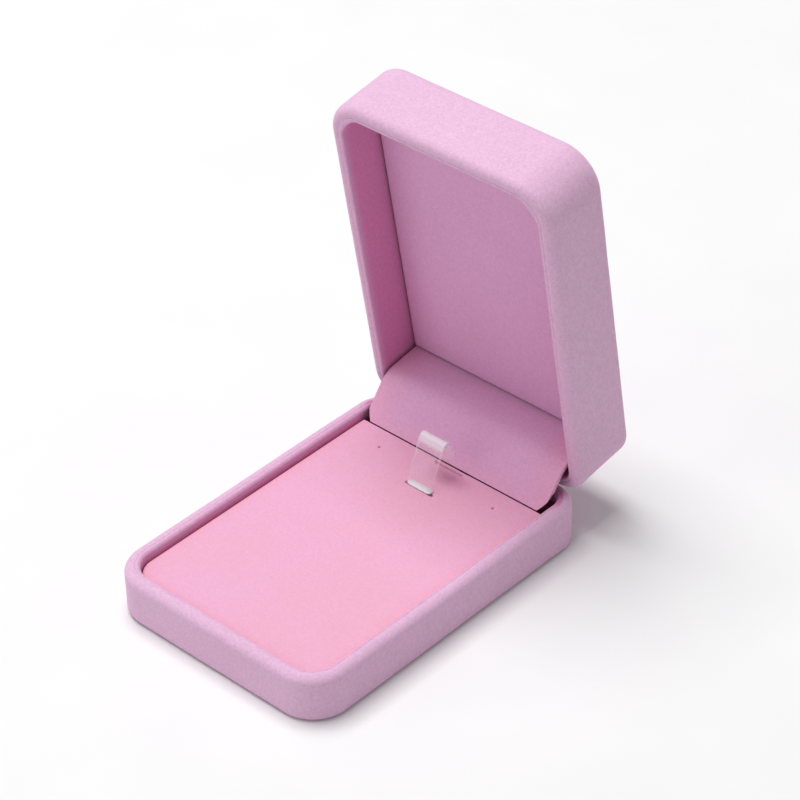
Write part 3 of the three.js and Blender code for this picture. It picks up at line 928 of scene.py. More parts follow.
@dataclass
class TrayVelvet:
    """The velvet round one half of the box: up its wall, over the rim and down inside.

    Attributes:
        sizes: the box's shared sizes.
        facing: which way the opening faces.
        rim: the rim's height.
        far: height of the half's other side, its underside or its top.
        far_rounding: rounding of that far edge.
        reach: how far the velvet comes down inside.
        notch_drop: how far the rim is cut down for the hinge.
        lip_rounding: rounding of the rim's inner edge.
        name: the piece's name.
        rear_reach: how far the velvet comes down inside at the hinge.
        inner_edge_y: where the inside velvet becomes that short, at the hinge.
        turn_under: how far the velvet is turned under the base.
        seam_at: the rim's fine seam, from the outer face.
        seam_depth: depth of that seam.
        seam_width: how wide it is, either side.
        corner_fill: how far the lining board stands in from the round front corners.
        notch_wall: thickness of the rim in the notch.
        notch_rounding: rounding of its outer edge there.
        notch_lip: rounding of its inner edge there.
        swell: height of the long waves in the wall.
        pleat: depth of the pleats inside the corners.
        pleat_rate: how far the wave of pleats turns for each turn of the corner.
        seed: shifts its unevenness.
    """

    sizes: BoxSizes
    facing: Facing
    rim: float
    far: float
    far_rounding: float
    reach: float
    notch_drop: float
    lip_rounding: float
    name: str
    rear_reach: float = 1.16 * MM
    inner_edge_y: float = 60 * MM
    turn_under: float = 6 * MM
    seam_at: float = 2.62 * MM
    seam_depth: float = 0.16 * MM
    seam_width: float = 0.17 * MM
    corner_fill: float = 0.0
    notch_wall: float = 2.1 * MM
    notch_rounding: float = 0.95 * MM
    notch_lip: float = 0.55 * MM
    swell: float = 0.05 * MM
    pleat: float = 0.16 * MM
    pleat_rate: float = 26
    seed: float = 1.0

    def notch(self) -> Array:
        """How far each step round the box is inside the hinge's notch.

        Returns:
            One number for each step, from 0 to 1.
        """
        outline, normal, _ = self.sizes.plan.loop(OUTLINE_STEPS)
        half = self.sizes.notch_half
        near = 1 - smooth_step(np.abs(outline[:, 0]), half - 0.5 * MM, half + 0.3 * MM)
        return near * (normal[:, 1] > 0.99)

    def section(self) -> Array:
        """The section at each step round the box, far edge first, as [inset, depth].

        Depth is counted from the rim's plane. The outer skin runs up the wall, over the rim
        in a quarter circle, over the lip in a smaller one, and down inside. The inner skin
        runs back the same way, one thickness of cloth inside it. At the hinge the rim
        drops, narrows and stops at the tray's own wall.

        Returns:
            (steps, points, 2).
        """
        n, sizes, cloth = OUTLINE_STEPS, self.sizes, self.sizes.cloth
        outline, _, _ = sizes.plan.loop(n)
        notch = self.notch()
        rear = smooth_step(outline[:, 1], self.inner_edge_y, self.inner_edge_y + 1.0 * MM)
        top = notch * self.notch_drop
        width = sizes.wall + notch * (self.notch_wall - sizes.wall)
        outer = sizes.rim_rounding + notch * (self.notch_rounding - sizes.rim_rounding)
        lip = self.lip_rounding + notch * (self.notch_lip - self.lip_rounding)
        reach = self.reach + np.maximum(rear, notch) * (self.rear_reach - self.reach)
        reach = top + np.maximum(reach - notch * 0.5 * MM, lip + 0.02 * MM)
        depth = abs(self.far - self.rim)
        edge = self.far_rounding
        skin = [
            edge_arc(n, edge, depth - edge, edge, -90, 0, 12),
            straight(n, (0, depth - edge - 0.3 * MM), (0, top + outer + 0.3 * MM), 18),
            edge_arc(n, outer, top + outer, outer, 0, 90, 18),
            straight(n, (outer + 0.04 * (width - outer), top), (width - lip * 1.04, top), 14),
            edge_arc(n, width - lip, top + lip, lip, 92, 180, 14),
            straight(n, (width, top + lip + 0.05 * MM), (width, reach), 12),
        ]
        inside = [
            straight(n, (width - cloth, reach), (width - cloth, top + lip), 3),
            edge_arc(n, width - lip, top + lip, np.maximum(lip - cloth, 0.05 * MM), 180, 92, 4),
            edge_arc(n, outer, top + outer, outer - cloth, 90, 0, 6),
            edge_arc(n, edge, depth - edge, edge - cloth, 0, -90, 5),
        ]
        if self.facing is Facing.UP:
            skin.insert(0, straight(n, (self.turn_under, depth), (edge + 0.4 * MM, depth), 5))
            low = depth - cloth
            inside.append(straight(n, (edge + 0.4 * MM, low), (self.turn_under, low), 3))
        return np.concatenate([*skin, *inside], axis=1)

    def softened(self, section: Array) -> Array:
        """The section with the small unevenness of cloth glued by hand.

        The wall swells and sinks by a soft wave along the box. Down inside each corner,
        where the cloth is gathered, narrow pleats fan out: a wave of the corner's angle,
        strongest halfway round the corner and just inside the lip. A fine seam, a bell-shaped
        furrow, runs along the top of the rim where the outer velvet meets the lined board,
        and the board cuts the two front corners a little straighter than the tray does.

        Args:
            section: the plain section, (steps, points, 2).

        Returns:
            The uneven one.
        """
        n = OUTLINE_STEPS
        length = np.arange(n)[:, None] / n * OUTLINE_LENGTH
        depth = section[..., 1]
        wave = ripple(length, depth * 1.5, 46 * MM, self.seed) * self.swell
        wave = wave + ripple(length, depth * 2, 13 * MM, self.seed + 2) * self.swell * 0.36
        outline, _, angle = self.sizes.plan.loop(n)
        angle = angle[:, None]
        corner = self.sizes.plan.corner_share(n)[:, None]
        inside = smooth_step(section[..., 0], self.sizes.wall - 1.3 * MM, self.sizes.wall)
        below = smooth_step(depth, 0.1 * MM, 1.3 * MM) * (1 - smooth_step(depth, 3 * MM, 8 * MM))
        folds = np.maximum(0, np.sin(angle * self.pleat_rate + self.seed)) ** 2
        pleats = folds * corner * inside * below
        from_seam = (section[..., 0] - self.seam_at) / self.seam_width
        seam = self.seam_depth * np.exp(-(from_seam**2))
        seam = seam * (1 - smooth_step(depth, 0.3 * MM, 0.5 * MM)) * (1 - self.notch()[:, None])
        filled = smooth_step(section[..., 0], self.seam_at, self.sizes.wall - 0.3 * MM)
        filled = filled * (1 - smooth_step(depth, 1.5 * MM, 5 * MM)) * corner**0.6
        at_front = outline[:, 1:] < 0
        filled = filled * at_front * (np.arange(depth.shape[1]) > 3)
        moved = section.copy()
        moved[..., 0] += wave * (1 - inside) + pleats * self.pleat + filled * self.corner_fill
        moved[..., 1] += seam
        return moved

    def lining_and_shade(self, section: Array) -> Array:
        """The stored shade: 0 outside, rising past the seam, where the rosier lined board starts,
        and as painted shade deeper down inside the wall.

        By the hinge, painted shade also covers the rim.

        Args:
            section: (steps, points, 2), each [inset, depth].

        Returns:
            One number for each point, from 0 to 1.
        """
        inset, depth = section[..., 0], section[..., 1]
        past_seam = smooth_step(inset, self.seam_at - 0.1 * MM, self.seam_at + 0.3 * MM)
        # Painted shade: the second colour grows with depth inside the wall, from a fifth at the
        # seam.
        shade = past_seam * (0.2 + 0.8 * smooth_step(depth, 0.3 * MM, 2.2 * MM))
        along = self.sizes.plan.loop(OUTLINE_STEPS)[0][:, 1:]
        # Painted shade on the rim by the hinge, where the rear corners lie deep in shade.
        painted_hinge_shade = smooth_step(along, 35 * MM, 40 * MM) * smooth_step(inset, 1.0 * MM, 2.6 * MM)
        crest = np.argmin(depth, axis=1)[:, None]
        past_crest = np.arange(section.shape[1])[None] >= crest
        return np.maximum(shade, painted_hinge_shade) * past_crest

    def build(self) -> bpy.types.Object:
        """Carries the section round the box and closes it: a ring for the base, caps for the lid.

        Returns:
            The velvet.
        """
        section = self.softened(self.section())
        steps = np.linalg.norm(np.diff(section, axis=1), axis=-1).max(axis=0)
        section = section[:, np.concatenate([[True], steps > 0.001 * MM])]
        heights = self.rim - self.facing.value * section[..., 1]
        points = carry(self.sizes.plan, np.stack([section[..., 0], heights], axis=-1))
        # Partly the lined board, partly painted shade.
        lining_and_shade = self.lining_and_shade(section)
        rows, columns = points.shape[:2]
        if self.facing is Facing.UP:
            ring = quads(rows, columns, wrap_rows=True, wrap_columns=True)
            piece = make_piece(self.name, points.reshape(-1, 3), [ring])
            set_shade(piece, "lining_and_shade", lining_and_shade)
            return piece
        faces = [quads(rows, columns, wrap_rows=True)[:, ::-1]]
        everything = [self.sizes.swing_open(points).reshape(-1, 3)]
        shades = [lining_and_shade.ravel()]
        index = np.arange(rows * columns).reshape(rows, columns)
        used = rows * columns
        for edge, flip in ((0, False), (columns - 1, True)):
            cap, cap_faces = self.cap(points[:, edge], index[:, edge], used, flip)
            everything.append(cap)
            shades.append(np.zeros(len(cap)))
            faces.extend(cap_faces)
            used += len(cap)
        piece = make_piece(self.name, np.concatenate(everything), faces)
        set_shade(piece, "lining_and_shade", np.concatenate(shades))
        return piece

    def cap(self, ring: Array, index: Array, used: int, flip: bool) -> tuple[Array, list[Array]]:
        """Closes a ring of the lid with smaller copies of itself, down to one middle point.

        Args:
            ring: (count, 3), the open edge, of the shut lid.
            index: the ring's corner numbers.
            used: how many points the piece has already.
            flip: face the other way, as the ceiling does.

        Returns:
            The new points, swung open, and the new faces.
        """
        shrink = np.array([0.97, 0.9, 0.78, 0.6, 0.4, 0.2])[:, None, None]
        middle = np.array([0, 0, ring[0, 2]])
        loops = middle + (ring[None] - middle) * shrink
        if not flip:
            loops[..., 2] += ripple(loops[..., 0], loops[..., 1], 40 * MM, 4.0) * 0.04 * MM
        numbers = used + np.arange(loops.shape[0] * len(ring)).reshape(loops.shape[0], -1)
        numbers = np.vstack([index[None], numbers])
        pole = used + loops.shape[0] * len(ring)
        here, after = numbers, np.roll(numbers, -1, axis=1)
        sides = np.stack([here[:-1], after[:-1], after[1:], here[1:]], axis=-1).reshape(-1, 4)
        tip = fan(numbers[-1], pole)
        points = np.concatenate([loops.reshape(-1, 3), middle[None]])
        turned = [sides[:, ::-1], tip[:, ::-1]] if flip else [sides, tip]
        return self.sizes.swing_open(points), turned


# --------------------------------------------------------------------------------- pad


@dataclass
class VelvetPad:
    """A velvet-covered pad with straight sides, rounded front corners and a soft edge.

    Attributes:
        name: the piece's name.
        half_width: half of its width.
        front: where its front edge is, along Y.
        rear: where its rear edge is.
        face: height of its visible face while the box is shut.
        back: height of its other side.
        corner: rounding of its two front corners, seen from above.
        rear_corner: rounding of its two rear corners.
        edge: rounding of the edge of its face.
        crown: how far the middle stands above the edges.
        facing: which way its face looks while the box is shut.
        rear_edge: rounding of the edge of its face at the rear.
        slits: the slits across it, each half its length and its place along Y.
        holes: its pin holes, each an X and a Y.
        seed: shifts its unevenness.
        shade_width: how far its edges are shaded.
        slit_depth: depth of a slit.
        hole_depth: depth of a pin hole.
    """

    name: str
    half_width: float
    front: float
    rear: float
    face: float
    back: float
    corner: float
    rear_corner: float
    edge: float
    crown: float
    facing: Facing
    rear_edge: float = 0.1 * MM
    slits: tuple = ()
    holes: tuple = ()
    seed: float = 1.0
    shade_width: float = 3.0 * MM
    slit_depth: float = 1.5 * MM
    hole_depth: float = 2.0 * MM

    def spread(self) -> tuple[Array, Array]:
        """The pad's grid: shares of the half width, and places along Y.

        Lines gather towards the edges as the steps of a quarter circle do, and stand close
        together across each slit and pin hole.

        Returns:
            The shares, from -1 to 1, and the places.
        """
        turn = np.radians(np.linspace(0, 90, 11))
        border = self.edge * (1 - np.sin(turn)) / self.half_width
        fine = [np.linspace(-1, 1, 83), 1 - border, border - 1]
        rows = [self.front + self.corner * (1 - np.sin(np.radians(np.linspace(0, 90, 30))))]
        rows.append(self.front + self.edge * (1 - np.sin(turn)))
        rows.append(self.rear - self.rear_edge * (1 - np.sin(turn)))
        rows.append(np.linspace(self.front, self.rear, 110))
        for x, y in self.holes:
            fine.append((x + np.linspace(-1.1, 1.1, 19) * MM) / self.half_width)
            rows.append(y + np.linspace(-1.1, 1.1, 19) * MM)
        for half, y in self.slits:
            ends = half + np.linspace(-0.5, 0.6, 7) * MM
            fine += [ends / self.half_width, -ends / self.half_width]
            rows.append(y + np.linspace(-0.8, 0.8, 13) * MM)
        across = np.unique(np.round(np.concatenate(fine), 6))
        along = np.unique(np.round(np.concatenate(rows), 7))
        return across[np.abs(across) <= 1], along[(along >= self.front) & (along <= self.rear)]

    def half_at(self, y: Array) -> Array:
        """Half of the pad's width, which is less across the rounded corners.

        Args:
            y: places along Y.

        Returns:
            The half width at each place.
        """
        front = np.clip(self.front + self.corner - y, 0, self.corner)
        rear = np.clip(y - self.rear + self.rear_corner, 0, self.rear_corner)
        return self.half_width - rolled_off(front, self.corner) - rolled_off(rear, self.rear_corner)

    def to_edge(self, x: Array, y: Array) -> Array:
        """How far each place is inside the pad's outline, rounded corners and all.

        Args:
            x: places along X.
            y: places along Y.

        Returns:
            The distance to the outline, and 0 outside it.
        """
        radius = np.where(y < 0, self.corner, self.rear_corner)
        out_x = np.abs(x) - self.half_width + radius
        out_y = np.maximum(self.front + radius - y, y - self.rear + radius)
        beyond = np.hypot(np.maximum(out_x, 0), np.maximum(out_y, 0))
        return np.maximum(radius - beyond - np.minimum(np.maximum(out_x, out_y), 0), 0)

    def surface(self) -> tuple[Array, Array]:
        """The pad's face as points, and the shade of its edges.

        The face falls away near the outline in a quarter circle, rises in a low crown
        towards the middle, and has a soft, uneven wave. A slit or a pin hole pulls it down
        in a small funnel.

        Returns:
            The points, (rows, columns, 3), and the shade of each, from 0 to 1.
        """
        across, along = self.spread()
        y = np.repeat(along[:, None], len(across), axis=1)
        x = across[None] * self.half_at(y)
        inside = self.to_edge(x, y)
        sides = self.to_edge(x, np.minimum(y, self.rear - 2 * self.corner))
        drop = rolled_off(np.clip(self.edge - sides, 0, self.edge), self.edge)
        into_rear = np.clip(self.rear_edge - (self.rear - y), 0, self.rear_edge)
        drop = drop + rolled_off(into_rear, self.rear_edge)
        swell = self.crown * (1 - np.exp(-((inside / (7 * MM)) ** 1.3)))
        wave = ripple(x, y, 31 * MM, self.seed) * 0.05 * MM * smooth_step(inside, 0, 6 * MM)
        down = drop - swell - wave + self.crown
        for half, slit_y in self.slits:
            away = np.hypot(np.maximum(np.abs(x) - half, 0), y - slit_y)
            down = down + self.slit_depth * (1 - smooth_step(away, 0.12 * MM, 0.5 * MM))
            down = down + 0.12 * MM * (1 - smooth_step(away, 0.2 * MM, 2.4 * MM))
        for hole_x, hole_y in self.holes:
            away = np.hypot(x - hole_x, y - hole_y)
            down = down + self.hole_depth * (1 - smooth_step(away, 0.12 * MM, 0.42 * MM))
            down = down + 0.06 * MM * (1 - smooth_step(away, 0.4 * MM, 1.4 * MM))
        z = self.face - self.facing.value * down
        # Painted shade: the face takes the darker second colour towards its edges, where it meets
        # the wall.
        shade = 1 - smooth_step(sides, 0, self.shade_width)
        return np.stack([x, y, z], axis=-1), shade

    def build(self, sizes: BoxSizes) -> bpy.types.Object:
        """Closes the face with a flat back, and swings the pad open if it is in the lid.

        Args:
            sizes: the box's shared sizes.

        Returns:
            The pad.
        """
        top, shade = self.surface()
        bottom = top.copy()
        bottom[..., 2] = self.back
        if self.facing is Facing.DOWN:
            top, bottom = sizes.swing_open(top), sizes.swing_open(bottom)
            top, bottom, shade = top[::-1], bottom[::-1], shade[::-1]
        # Rows run along Y and columns along X, so the order of rows is turned to face out.
        piece = make_slab(self.name, top[::-1], bottom[::-1])
        # The hidden back takes the painted shade colour throughout.
        set_shade(piece, "lining_and_shade", np.concatenate([shade[::-1].ravel(), np.ones(shade.size)]))
        return piece


# ------------------------------------------------------------------------ sub-assemblies


def dress(
    piece: bpy.types.Object, finish: bpy.types.Material, body: str, slot: str, *nodes: str
) -> bpy.types.Object:
    """Finishes a piece and puts it on its body.

    Args:
        piece: the piece.
        finish: its material.
        body: the body that it rides on.
        slot: the material slot that it is listed under; not used.
        nodes: the CAD nodes that it stands for.

    Returns:
        The same piece.
    """
    piece.data.materials.append(finish)
    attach(piece, body)
    if nodes:
        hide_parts(*nodes)
    log.info("%s: %d faces, on %s", piece.name, len(piece.data.polygons), body)
    return piece


@dataclass
class Base:
    """The base: its velvet, underside sheet, pad and pendant strap.

    Attributes:
        sizes: the box's shared sizes.
        pad_edge: rounding of the edge of the pad's face.
        pad_crown: how far the pad's middle stands above its edges.
        pad_overhang: how far the pad's velvet reaches back over the slot before the flap.
        hole_x: the pin holes' place either side of the middle.
        hole_setback: their distance from the pad's rear edge.
        slit_setback: the rear slit's distance from it.
        strap_half: half the strap's width.
        film: thickness of the strap.
        bend_y: where the strap bends over, along Y.
        foot_half_length: half the length of the strap's foot.
        foot_half_width: half its width.
        foot_height: its height.
        foot_behind: how far its middle line is behind the strap's front face.
    """

    sizes: BoxSizes
    pad_edge: float = 0.95 * MM
    pad_crown: float = 0.16 * MM
    pad_overhang: float = 0.42 * MM
    hole_x: float = 17.8 * MM
    hole_setback: float = 5.6 * MM
    slit_setback: float = 0.9 * MM
    strap_half: float = 3.8 * MM
    film: float = 0.4 * MM
    bend_y: float = 29.6 * MM
    foot_half_length: float = 3.65 * MM
    foot_half_width: float = 1.02 * MM
    foot_height: float = 0.62 * MM
    foot_behind: float = 0.62 * MM

    def build_velvet(self) -> bpy.types.Object:
        """The velvet from under the base, up the wall, over the rim and down to the pad.

        Returns:
            The piece.
        """
        low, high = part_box("base_cover")
        velvet = TrayVelvet(
            sizes=self.sizes,
            facing=Facing.UP,
            rim=high.z,
            far=low.z,
            far_rounding=1.5 * MM,
            reach=3.3 * MM,
            notch_drop=self.sizes.base_rim - (self.sizes.axis_z - self.sizes.notch_reach),
            lip_rounding=0.95 * MM,
            name="base_velvet",
            seed=0.7,
        )
        piece = velvet.build()
        return dress(piece, OUTER_VELVET.material(), "base", "velvet", "base_cover")

    def build_underside(self) -> bpy.types.Object:
        """The sheet glued under the base: rounded loops from its top edge down to its middle.

        Returns:
            The piece.
        """
        low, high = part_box("underside_sheet")
        inset = self.sizes.plan.half_width - high.x
        round_off = 0.22 * MM
        count = 240
        edge = edge_arc(count, inset + round_off, -round_off, round_off, 0, 90, 6)
        edge[..., 1] = -edge[..., 1]
        side = straight(count, (inset, high.z), (inset, low.z + round_off + 0.01 * MM), 2)
        rings = carry(self.sizes.plan, np.concatenate([side, edge], axis=1))
        shrink = np.array([0.98, 0.9, 0.7, 0.4])[:, None, None]
        last = rings[:, -1]
        inner = np.swapaxes(last[None] * np.array([1, 1, 0]) * shrink, 0, 1)
        grid = np.concatenate([rings, inner], axis=1)
        grid[..., 2] = np.maximum(grid[..., 2], low.z)
        rows, columns = grid.shape[:2]
        index = np.arange(rows * columns).reshape(rows, columns)
        low_pole, high_pole = rows * columns, rows * columns + 1
        poles = np.array([[0, 0, low.z], [0, 0, high.z]])
        faces = [
            quads(rows, columns, wrap_rows=True)[:, ::-1],
            fan(index[:, -1], low_pole)[:, ::-1],
            fan(index[:, 0], high_pole),
        ]
        points = np.concatenate([grid.reshape(-1, 3), poles])
        piece = make_piece("underside_velvet", points, faces)
        dress(piece, OUTER_VELVET.material(), "base", "velvet", "underside_sheet")
        return piece

    def build_pad(self) -> bpy.types.Object:
        """The foam pad under rose velvet, slit for the strap and pierced for two pins.

        Returns:
            The piece.
        """
        low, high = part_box("pad_cover")
        rear = high.y + self.pad_overhang
        strap_low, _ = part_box("pendant_strap")
        slit_half = self.strap_half + 0.1 * MM
        pad = VelvetPad(
            name="pad_velvet",
            half_width=high.x,
            front=low.y,
            rear=rear,
            face=high.z + self.pad_crown,
            back=low.z,
            corner=5.7 * MM,
            rear_corner=0.8 * MM,
            edge=self.pad_edge,
            crown=self.pad_crown,
            facing=Facing.UP,
            slits=(
                (slit_half, strap_low.y + self.film / 2),
                (slit_half, rear - self.slit_setback),
            ),
            holes=(
                (-self.hole_x, rear - self.hole_setback),
                (self.hole_x, rear - self.hole_setback),
            ),
            seed=2.3,
        )
        piece = pad.build(self.sizes)
        dress(piece, PAD_VELVET.material(), "base", "pad_velvet", "pad_cover")
        return piece

    def strap_path(self) -> Array:
        """The film's middle line in the Y-Z plane, from its rear end over to its front end.

        Corner points are joined by straight runs, sampled evenly, and then softened by a
        moving average, which turns each corner into a bend.

        Returns:
            (points, 2), each [y, z].
        """
        low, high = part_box("pendant_strap")
        over_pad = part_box("pad_cover")[1].z + 0.4 * MM
        back, front = high.y - self.film / 2, low.y + self.film / 2
        bend, top = self.bend_y, high.z - self.film / 2
        knots = np.array([
            [back, low.z], [back, over_pad],
            [bend + 1.35 * MM, top - 1.0 * MM], [bend + 0.75 * MM, top - 0.1 * MM],
            [bend, top + 0.08 * MM],
            [bend - 0.7 * MM, top - 0.25 * MM], [bend - 1.2 * MM, top - 1.0 * MM],
            [front, over_pad], [front, low.z],
        ])
        steps = np.concatenate([[0], np.cumsum(np.hypot(*np.diff(knots, axis=0).T))])
        even = np.linspace(0, steps[-1], 400)
        line = np.stack([np.interp(even, steps, knots[:, axis]) for axis in (0, 1)], axis=1)
        kernel = np.hanning(21) / np.hanning(21).sum()
        padded = np.concatenate([np.repeat(line[:1], 10, 0), line, np.repeat(line[-1:], 10, 0)])
        soft = [np.convolve(padded[:, axis], kernel, "valid") for axis in (0, 1)]
        return np.stack(soft, axis=1)[::3]

    def build_strap(self) -> bpy.types.Object:
        """The clear film: its middle line, thickened both ways along its normal.

        Across its width the film bows by a hair, so that its highlight runs as a soft line.
        Its stored edge mask paints highlights at the cut edges and over the bend, and a pale
        painted reflection on the rear half.

        Returns:
            The piece.
        """
        path = self.strap_path()
        ahead = np.gradient(path, axis=0)
        ahead /= np.linalg.norm(ahead, axis=1, keepdims=True)
        normal = np.stack([-ahead[:, 1], ahead[:, 0]], axis=1)
        across = np.linspace(-1, 1, 13)
        bow = 0.05 * MM * (1 - across**2)
        sides = []
        for half in (-self.film / 2, self.film / 2):
            yz = path[:, None, :] + (half + bow)[None, :, None] * normal[:, None, :]
            x = np.broadcast_to(across * self.strap_half, yz.shape[:2])
            sides.append(np.concatenate([x[..., None], yz], axis=-1))
        piece = make_slab("strap_film", sides[0], sides[1])
        length = np.linspace(0, 1, len(path))[:, None]
        lift = (path[:, 1] - path[:, 1].min())[:, None] / np.ptp(path[:, 1])
        # Painted highlights along the cut edges, stronger higher up.
        cut = smooth_step(np.abs(across)[None], 0.86, 0.99) * (0.05 + 0.7 * lift**4)
        # Painted highlight over the bend.
        bend = smooth_step(lift, 0.84, 0.93) * 0.55 + smooth_step(lift, 0.955, 0.99) * 0.4
        # Painted reflection: a pale veil on the rear leg's upper half.
        painted_haze = (1 - smooth_step(length, 0.42, 0.52)) * smooth_step(lift, 0.42, 0.75) * 0.42
        edge = np.clip(np.maximum(cut, bend) + painted_haze, 0, 1)
        set_shade(piece, "edge", np.concatenate([edge.ravel(), edge.ravel()]))
        round_edges(piece, 0.09 * MM)
        return dress(piece, ClearFilm().material(), "base", "clear_plastic", "pendant_strap")

    def build_foot(self) -> bpy.types.Object:
        """The strap's sealed foot, lying on the pad: a flat bar with round ends and edges.

        It is a stadium outline carried inwards over a half-ellipse, closed by a pole above
        and one below.

        Returns:
            The piece.
        """
        strap_low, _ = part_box("pendant_strap")
        pad_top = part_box("pad_cover")[1].z + 0.02 * MM
        centre_y = strap_low.y + self.foot_behind
        half_width, height = self.foot_half_width, self.foot_height
        turn = np.radians(np.arange(96) / 96 * 360)[:, None]
        tilt = np.radians(np.linspace(-35, 86, 15))[None]
        straight_half = self.foot_half_length - half_width
        x = half_width * np.cos(turn) * np.cos(tilt)
        x = x + np.clip(np.cos(turn) * 6, -1, 1) * straight_half
        y = centre_y + half_width * np.sin(turn) * np.cos(tilt)
        z = np.broadcast_to(pad_top + height * (0.36 + 0.64 * np.sin(tilt)), x.shape)
        grid = np.stack([x, y, z], axis=-1)
        rows, columns = grid.shape[:2]
        count = rows * columns
        index = np.arange(count).reshape(rows, columns)
        poles = np.array([grid[:, 0].mean(axis=0), grid[:, -1].mean(axis=0)])
        below = fan(index[:, 0], count)[:, ::-1]
        faces = [quads(rows, columns, wrap_rows=True), below, fan(index[:, -1], count + 1)]
        piece = make_piece("strap_foot", np.concatenate([grid.reshape(-1, 3), poles]), faces)
        return dress(piece, MilkyPlastic().material(), "base", "clear_plastic")

    def build(self) -> None:
        """Builds every piece that rides on the base."""
        self.build_velvet()
        self.build_underside()
        self.build_pad()
        self.build_strap()
        self.build_foot()


@dataclass
class Lid:
    """The lid: its velvet and its panel, shaped shut and then swung open.

    Attributes:
        sizes: the box's shared sizes.
        recess: depth of the panel's face in from the rim.
        panel_skirt: thickness of the panel.
        panel_inset: the panel's distance in from the outer wall.
        panel_rear: where the panel ends by the hinge, along Y.
        panel_edge: rounding of the edge of its face.
        panel_crown: how far its middle stands above its edges.
    """

    sizes: BoxSizes
    recess: float = 10.85 * MM
    panel_skirt: float = 1.6 * MM
    panel_inset: float = 4.15 * MM
    panel_rear: float = 36.05 * MM
    panel_edge: float = 0.8 * MM
    panel_crown: float = 0.12 * MM

    def build_velvet(self) -> bpy.types.Object:
        """The velvet over the lid's top, down its wall, over the rim and in to the panel.

        Returns:
            The piece.
        """
        sizes = self.sizes
        velvet = TrayVelvet(
            sizes=sizes,
            facing=Facing.DOWN,
            rim=sizes.lid_rim,
            far=sizes.lid_top,
            far_rounding=LID_EDGE,
            reach=self.recess + self.panel_skirt,
            notch_drop=sizes.axis_z + sizes.notch_reach - sizes.lid_rim,
            lip_rounding=0.5 * MM,
            corner_fill=0.5 * MM,
            name="lid_velvet",
            seed=3.1,
        )
        piece = velvet.build()
        return dress(piece, OUTER_VELVET.material(), "lid", "velvet", "lid_cover")

    def build_panel(self) -> bpy.types.Object:
        """The card panel deep in the lid, under rose velvet.

        Returns:
            The piece.
        """
        plan = self.sizes.plan
        face = self.sizes.lid_rim + self.recess
        panel = VelvetPad(
            name="lid_panel_velvet",
            half_width=plan.half_width - self.panel_inset,
            front=-plan.half_depth + self.panel_inset,
            rear=self.panel_rear,
            face=face - self.panel_crown,
            back=face + self.panel_skirt,
            corner=plan.radius - self.panel_inset,
            rear_corner=0.9 * MM,
            edge=self.panel_edge,
            crown=self.panel_crown,
            facing=Facing.DOWN,
            seed=5.9,
            # A narrow band of painted shade at the panel's edges, for the gap beside the lid's
            # walls.
            shade_width=1.0 * MM,
        )
        piece = panel.build(self.sizes)
        dress(piece, PANEL_VELVET.material(), "lid", "panel_velvet", "lid_panel_cover")
        return piece

    def build(self) -> None:
        """Builds every piece that rides on the lid."""
        self.build_velvet()
        self.build_panel()


